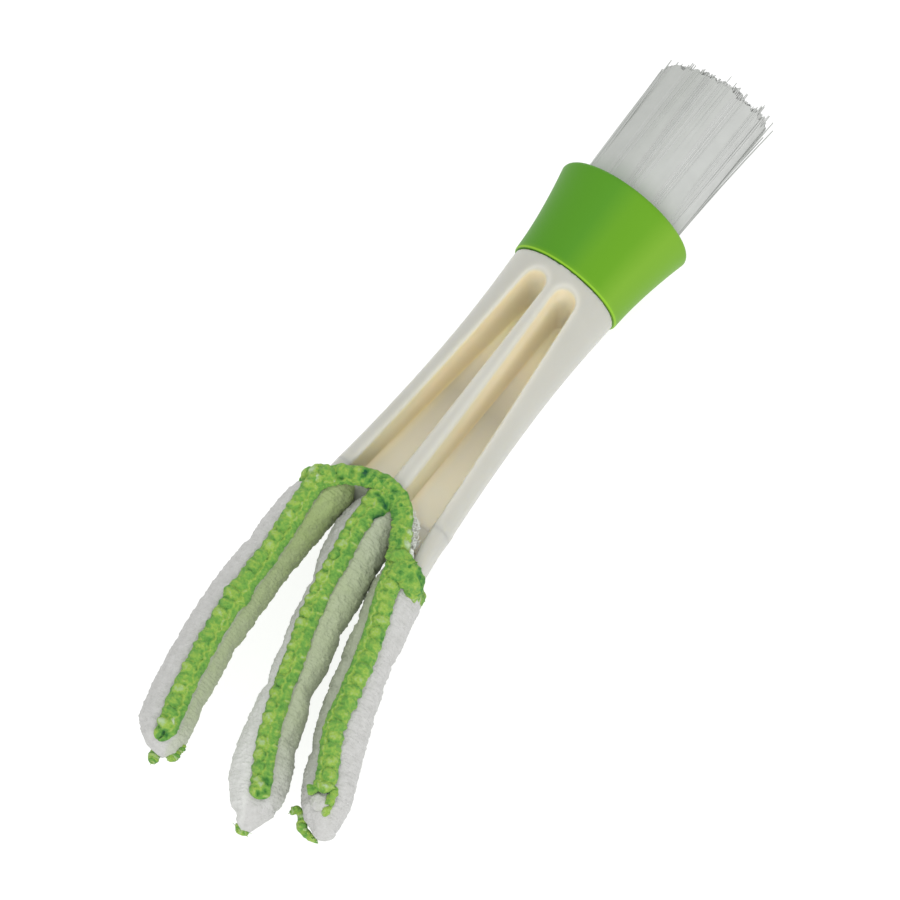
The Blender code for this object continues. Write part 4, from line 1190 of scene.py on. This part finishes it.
# The pale share lightens each loop's crown as a painted highlight.
def beads(edge, bead_side, seed, pitch=0.0024, bead_at=0.26, bead_wide=0.62, chain_at=-0.30, pale=0.45,
          bars=False):
    """Pattern of a straight overlocked seam."""
    chance = np.random.default_rng(seed)
    count = max(2, int(round(edge.length / pitch)))
    step = edge.length / count
    plump_loops = [(step * (place + 0.5 + chance.uniform(-0.1, 0.1)), bead_at + chance.uniform(-0.07, 0.07),
                    step * chance.uniform(0.48, 0.60), bead_wide * chance.uniform(0.82, 1.12),
                    chance.uniform(0.70, 1.15), pale * chance.uniform(0.25, 1.15), chance.uniform(-0.3, 0.3))
                   for place in range(count)]

    def pattern(run, side):
        place = np.stack([run, side * THREAD_HALF_WIDTH, 0 * run], axis=-1)
        s = run + 0.00025 * uneven(place, 0.0012, seed)
        u = side * bead_side + 0.09 * uneven(place, 0.0009, seed + 1)
        relief, tone, nearest = np.zeros(s.shape), np.full(s.shape, 0.42), np.full(s.shape, 9.0)
        for middle, offset, long, wide, tall, lit, skew in plump_loops:
            along = (s - middle) / long - skew * (u - offset)
            away = (np.abs(along) ** 2.3 + np.abs((u - offset) / wide) ** 2.3) ** (1 / 2.3)
            plump = 0.00070 * tall * np.sqrt(np.clip(1.0 - away ** 2, 0.0, 1.0)) * (1.0 + 0.15 * along)
            # Each loop's crown is painted lighter as a highlight.
            tone = np.where(plump > relief, 0.40 + lit * np.clip(1.0 - away ** 1.6, 0.0, 1.0), tone)
            relief = np.maximum(relief, plump)
            nearest = np.minimum(nearest, away)
        between_loops = np.exp(-(np.sin(math.pi * s / step) / 0.18) ** 2)
        chain = np.exp(-((u - chain_at - 0.08 * np.cos(math.tau * s / step)) / 0.10) ** 2)
        selvage = np.clip(1.0 - ((u - chain_at + 0.42) / 0.42) ** 2, 0.0, 1.0)
        fringe = between_loops * eased((u - 0.15) / 0.6)
        crease = np.exp(-((nearest - 1.04) / 0.09) ** 2)
        relief = np.maximum(relief, 0.00038 * np.sqrt(selvage)) + 0.00030 * chain + 0.00012 * fringe
        small, large = uneven(place, 0.00042, seed + 2), uneven(place, 0.0009, seed + 3)
        relief = relief + 0.00014 * small + 0.00015 * large
        # The creases take a lighter green; darker patches, weighted to the creases, are painted shade.
        tone = tone + (0.60 - tone) * 0.6 * crease - 0.22 * eased((large - 0.35) / 0.3) * (crease + 0.4 * (1.0 - chain))
        tone = tone + (0.64 - tone) * np.clip(0.85 * chain + 0.5 * fringe * (u > 0.6), 0.0, 1.0)
        tone = tone + 0.09 * small + 0.07 * uneven(place, 0.0016, seed + 6)
        if bars:
            poke = np.exp(-(np.sin(math.pi * (s - 0.0004 * u) / 0.0031) / 0.24) ** 2)
            poke = poke * eased((-u - 0.30) / 0.25)
            poke = poke * np.clip(0.75 + 0.8 * uneven(place, 0.0016, seed + 8), 0.0, 1.0)
            tone = tone + (0.95 - tone) * 0.62 * poke
            relief = relief + 0.00012 * poke
        outline = ragged_outline(run, side, seed, 0.09) - 0.07 * np.cos(math.tau * s / step) * (u > 0)
        return relief, tone, outline

    return pattern


def tangle(edge, seed, half_width=THREAD_HALF_WIDTH, pitch=0.0016):
    """Pattern of an overlocked edge on a tight turn, where small loops crowd and leave gaps."""
    chance = np.random.default_rng(seed)
    count = int(edge.length / pitch) + 2
    loops_at = [(pitch * (place + 0.5 * (row % 2) + chance.uniform(-0.3, 0.3)), at + chance.uniform(-0.12, 0.12),
                 chance.uniform(0.8, 1.25), chance.random())
                for place in range(count) for row, at in enumerate((-0.66, -0.02, 0.62))]

    def pattern(run, side):
        place = np.stack([run, side * half_width, 0 * run], axis=-1)
        s = run + 0.00025 * uneven(place, 0.0011, seed)
        u = side + 0.10 * uneven(place, 0.0009, seed + 1)
        first, second, lit = np.full(s.shape, 9.0), np.full(s.shape, 9.0), np.zeros(s.shape)
        for middle, offset, size, light in loops_at:
            away = np.hypot(s - middle, (u - offset) * half_width) / (0.00105 * size)
            closer = away < first
            second = np.where(closer, first, np.minimum(second, away))
            lit = np.where(closer, light, lit)
            first = np.minimum(first, away)
        plump = np.sqrt(np.clip(1.0 - (first / 1.2) ** 2, 0.0, 1.0))
        gap = np.exp(-((second - first) / 0.20) ** 2)
        strand = np.exp(-(uneven(place, 0.0012, seed + 2) / 0.09) ** 2)
        small, large = uneven(place, 0.00042, seed + 3), uneven(place, 0.0009, seed + 4)
        relief = 0.00040 * plump + 0.00006 * gap + 0.00022 * strand + 0.00014 * small + 0.00018 * large
        # Each small loop's crown is painted lighter as a highlight.
        tone = 0.36 + 0.16 * lit * plump
        tone = tone + (0.60 - tone) * np.clip(0.55 * gap + 0.75 * strand, 0.0, 1.0)
        tone = tone + 0.09 * small - 0.20 * eased((large - 0.35) / 0.3)
        return relief, tone, ragged_outline(run, side, seed, 0.11)

    return pattern


def curve_through(points, stations):
    """Even run through chosen points, rounded at each of them."""
    points = np.asarray(points, float)
    ends = np.concatenate([[points[0] * 2 - points[1]], points, [points[-1] * 2 - points[-2]]])
    path = []
    for place in np.linspace(0.0, len(points) - 1, stations):
        first = min(int(place), len(points) - 2)
        share = place - first
        back, low, high, ahead = ends[first:first + 4]
        path.append((low * 2 + (high - back) * share + (back * 2 - low * 5 + high * 4 - ahead) * share ** 2
                     + (low * 3 - back - high * 3 + ahead) * share ** 3) / 2)
    return np.array(path)


# The seams close each finger of the sleeve down its front and its back. The front ones stop short
# of the tip. A pit is a hollow painted darker as shade, or a raised knob painted lighter where its
# depth is below nought.
STITCHES = {
    "left": {"bead_side": 1.0, "bead_at": 0.28, "bead_wide": 0.66, "chain_at": -0.34, "pale": 0.32},
    "middle": {"bead_side": 1.0, "bead_at": 0.42, "bead_wide": 0.52, "chain_at": -0.06, "pale": 0.32},
    "right": {"bead_side": -1.0, "bead_at": 0.24, "bead_wide": 0.70, "chain_at": -0.44, "pale": 0.32},
}
TOP_PITS = ((-0.0016, -0.0579, 0.0006, 0.9), (-0.0004, -0.0583, 0.0006, 0.9), (0.0009, -0.0587, 0.0007, 0.9),
            (0.0014, -0.0600, 0.0006, 0.9), (0.0012, -0.0612, 0.0007, 0.8), (0.0008, -0.0622, 0.0006, 0.6))
SEAM_ENDS = {
    "left": ((61.3, 2.0, 0.7, -0.9), (61.8, 0.3, 0.6, -0.8), (63.7, 1.5, 0.7, 0.9), (64.6, 0.6, 0.6, 0.6),
             (63.0, 0.0, 0.4, 0.5)),
    "middle": ((61.2, 2.3, 0.5, 1.0), (61.8, 3.0, 0.4, 0.6), (64.1, 1.8, 0.5, 1.0), (63.4, 2.9, 0.4, 0.6),
               (62.6, 1.9, 0.55, -0.9)),
    "right": ((53.0, 0.8, 0.5, 0.6), (56.4, 0.6, 0.5, 0.4)),
}
SEAM_STATIONS = 90
BACK_SEAM_SHORT = 0.0042
SEAM_PROUD = 0.0006
# The right seam ends in an open loop of yarn. Each knot: place, way, size, seed, tone, roughness, pit.
RIGHT_KNOTS = (
    ((0.0554, -0.0008, 0.0064), (0.7, 1.0), (0.0016, 0.0010, 0.0009), 9, 0.50, 0.40, 0.5),
    ((0.0563, 0.0027, 0.0061), (0.2, -1.0), (0.0021, 0.0009, 0.0009), 10, 0.52, 0.40, 0.0),
    ((0.0590, 0.0021, 0.0057), (0.3, 1.0), (0.0011, 0.0009, 0.0008), 11, 0.60, 0.40, 0.0),
)
for side, spec in FINGERS.items():
    cover = SLEEVES[side]
    tip = cover["low"][-1][0] / 1000.0
    for label, out in (("front", 1.0), ("back", -1.0)):
        way = curve_through(SEAM_PATHS[side], SEAM_STATIONS) / 1000.0
        reach = way[:, 0]
        if out < 0:
            reach = reach[0] + (reach - reach[0]) * (tip - BACK_SEAM_SHORT - reach[0]) / (reach[-1] - reach[0])
        low, high, rounded, ridge = cover_at(cover, reach)
        off_middle = np.clip((way[:, 1] - (low + high) / 2) / ((high - low) / 2), -0.8, 0.8)
        height = CLOTH_HALF_DEPTH * ridge * np.sqrt(1.0 - off_middle ** 2) + SEAM_PROUD
        path = bent(spec, reach, way[:, 1], out * height)
        outward = np.stack([off_middle * 0.5, -0.9 * rounded * ridge ** -0.5, out * np.ones(SEAM_STATIONS)],
                           axis=-1)
        edge = Edge(path, outward)
        stitch = dict(STITCHES[side], bead_side=STITCHES[side]["bead_side"] * out, bars=side == "middle" and out > 0)
        pits = [(*bent(spec, reach / 1000.0, across / 1000.0, 0.0)[:2], radius / 1000.0, depth)
                for reach, across, radius, depth in SEAM_ENDS[side]]
        bag = new_bag()

        def seam_width(run):
            wide = 1.04 + 0 * run
            if side == "left":
                wide = wide + 0.45 * np.exp(-((run - 0.0290) / 0.0015) ** 2) - 0.28 * eased((run - 0.0585) / 0.002)
            if side == "middle":
                wide = wide + 0.5 * eased((0.0058 - run) / 0.004)
            return THREAD_HALF_WIDTH * wide

        put_band(bag, edge, seam_width, beads(edge, seed=31 + len(side) * 10 + int(out), **stitch),
                 (*TOP_PITS, *pits) if out > 0 else ())
        if out > 0 and side == "right":
            for spot, *knot in RIGHT_KNOTS:
                put_knot(bag, bent(spec, *spot), *knot)
            put_knot(bag, (0.0094, -0.0653, 0.0072), (0.8, 0.6), (0.0024, 0.0014, 0.0011), 12, 0.46, 0.35)
        sewn = piece_from(bag, label + "_overlock_" + side, yarn)
        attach(sewn, side + "_finger")
        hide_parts(label + "_seam_" + side)

# The hem is the overlocked mouth of the sleeve: one arch of yarn over both crotches, on the front
# and on the back, and a turn round the outer side of each outer finger.
ARCH = ((-0.0130, -0.0640), (-0.0121, -0.0614), (-0.0098, -0.0586), (-0.0068, -0.0568), (-0.0040, -0.0557),
        (-0.0010, -0.0553), (0.0021, -0.0561), (0.0047, -0.0582), (0.0064, -0.0607), (0.0078, -0.0632),
        (0.0092, -0.0662))
ARCH_HEIGHT = 0.0066
ARCH_STATIONS = 70
HEM_PITS = ((-0.0099, -0.0599, 0.0004, 0.6), (-0.0093, -0.0593, 0.0004, 0.6), (-0.0080, -0.0572, 0.0005, 0.7),
            (-0.0061, -0.0557, 0.0006, 0.8), (-0.0030, -0.0548, 0.0005, 0.7), (0.0006, -0.0554, 0.0006, 0.8),
            (0.0063, -0.0577, 0.0005, -0.6), (0.0077, -0.0604, 0.0006, -0.8), (0.0091, -0.0625, 0.0009, -1.0))
SIDE_PITS = ((0.0162, -0.0690, 0.0007, -0.7), (0.0154, -0.0697, 0.0005, -0.6), (0.0135, -0.0672, 0.0006, 0.8))
for label, out in (("front", 1.0), ("back", -1.0)):
    path = curve_through([(x, y, out * ARCH_HEIGHT) for x, y in ARCH], ARCH_STATIONS)
    edge = Edge(path, np.tile((0.0, 0.0, out), (ARCH_STATIONS, 1)))
    bag = new_bag()
    beaded = beads(edge, -out, 51 + int(out), pitch=0.0026, bead_at=0.2, bead_wide=0.7, chain_at=-0.6, pale=0.42)
    tangled = tangle(edge, 55 + int(out))

    def arch_pattern(run, side):
        share = eased((run - 0.0085) / 0.002)
        return [between(first, second, share) for first, second in zip(beaded(run, side), tangled(run, side))]

    put_band(bag, edge, THREAD_HALF_WIDTH, arch_pattern, HEM_PITS + TOP_PITS[:3] if out > 0 else ())
    hem = piece_from(bag, "hem_overlock_" + label, yarn)
    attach(hem, "handle_and_brush")
    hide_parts("hem_" + label)

HEM_TURNS = {
    "left": ((0.0014, 0.0067, 0.0028), (-0.0003, 0.0067, 0.0037), (-0.0017, 0.0058, 0.0047), (-0.0027, 0.0041, 0.0055),
             (-0.0031, 0.0020, 0.0059), (-0.0032, 0.0, 0.0060)),
    "right": ((-0.0034, 0.0070, 0.0080), (-0.0018, 0.0073, 0.0095), (0.0000, 0.0070, 0.0101), (0.0014, 0.0061, 0.0107),
              (0.0021, 0.0042, 0.0115), (0.0022, 0.0, 0.0121)),
}
TURN_STATIONS = 90
TURN_HALF_WIDTH = (0.0019, 0.0029)
for side, turn_points in HEM_TURNS.items():
    spec = FINGERS[side]
    whole = list(turn_points) + [(x, -z, reach) for x, z, reach in reversed(turn_points[:-1])]
    path = curve_through([bent(spec, reach, x, z) for x, z, reach in whole], TURN_STATIONS)
    middle = np.array([spec["root_x"] - (0.001 if side == "right" else 0.0), 0.0, 0.0])
    edge = Edge(path, (path - middle) * np.array([1.0, 0.0, 1.0]), 0.006)
    if side == "left":
        pattern = beads(edge, 1.0, 64, pitch=0.0023, bead_at=0.1, bead_wide=0.8, chain_at=-0.8, pale=0.42)
    else:
        pattern = tangle(edge, 67, 0.0026)

    def turn_width(run):
        if side == "left":
            return TURN_HALF_WIDTH[0]
        from_middle = np.abs(run - edge.length / 2) / (edge.length / 2)
        return between(*TURN_HALF_WIDTH, eased((from_middle - 0.25) / 0.45))

    bag = new_bag()
    put_band(bag, edge, turn_width, pattern, SIDE_PITS if side == "right" else ())
    hem = piece_from(bag, "hem_overlock_" + side, yarn)
    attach(hem, side + "_finger")
    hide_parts("hem_" + side)

# The thread tails are the loose ends of the back seams, which come round the tips of the fingers
# as short soft bits of yarn.
TAILS = {
    "left": ((0.0010, ((65.2, 0.3), (66.8, 0.1), (68.4, 0.0))),
             (0.0009, ((62.6, 4.4), (64.4, 4.1), (66.0, 3.4), (66.2, 2.4)))),
    "middle": ((0.0010, ((69.0, -1.2), (70.0, -0.6), (70.3, 0.1), (70.0, 0.7))),),
    "right": ((0.0009, ((59.4, -4.9), (58.5, -4.2), (58.8, -3.1), (60.3, -2.3), (61.4, -2.3), (62.3, -1.5),
                        (63.1, -0.3), (63.9, 1.2))),),
}
TAIL_STATIONS = 60
TAIL_HEIGHT = -0.0014
TAIL_TWISTS = 1.6
PLY_TONES = (0.36, 0.56, 0.76)
TAIL_FIBRES = 14
for side, tails in TAILS.items():
    spec = FINGERS[side]
    bag = new_bag()
    for radius, points in tails:
        reach, across = curve_through(points, TAIL_STATIONS).T / 1000.0
        path = bent(spec, reach, across, TAIL_HEIGHT)
        share = np.linspace(-1.0, 1.0, TAIL_STATIONS)
        lumpy = 1.0 + 0.35 * uneven(path, 0.0010, 81) + 0.2 * uneven(path, 0.0005, 83)
        width = radius * np.sqrt(np.clip(1.06 - share ** 4, 0.05, 1.0)) * lumpy
        put_yarn(bag, path, width, 0.50 + 0.26 * uneven(path, 0.0006, 82), 14)
        chance = np.random.default_rng(len(path) + len(side))
        for ply, tone in enumerate(PLY_TONES):
            twist = math.tau * (ply / len(PLY_TONES) + share * TAIL_TWISTS)
            round_core = np.stack([np.cos(twist), 0.3 * np.sin(twist), np.sin(twist)], axis=-1)
            wound = path + round_core * (width * 0.8)[:, None]
            put_yarn(bag, wound, width * 0.42, tone + 0.1 * uneven(wound, 0.0007, 84), 8)
        for _ in range(TAIL_FIBRES):
            root = path[chance.integers(4, TAIL_STATIONS - 4)]
            lap = np.linspace(0.0, 1.0, 6)[:, None]
            towards = unit(chance.normal(0.0, 1.0, 3))
            curl = np.array((towards[1], -towards[0], 0.3)) * chance.uniform(-0.6, 0.6)
            hair = root + (towards * lap + curl * lap ** 2) * (radius + chance.uniform(0.0001, 0.0004))
            put_yarn(bag, hair, 0.00006, chance.uniform(0.5, 0.95), sides=4, guide=(0.11, 0.23, 0.96))
    tail = piece_from(bag, "yarn_tail_" + side, yarn)
    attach(tail, side + "_finger")
    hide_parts("thread_tail_" + side)
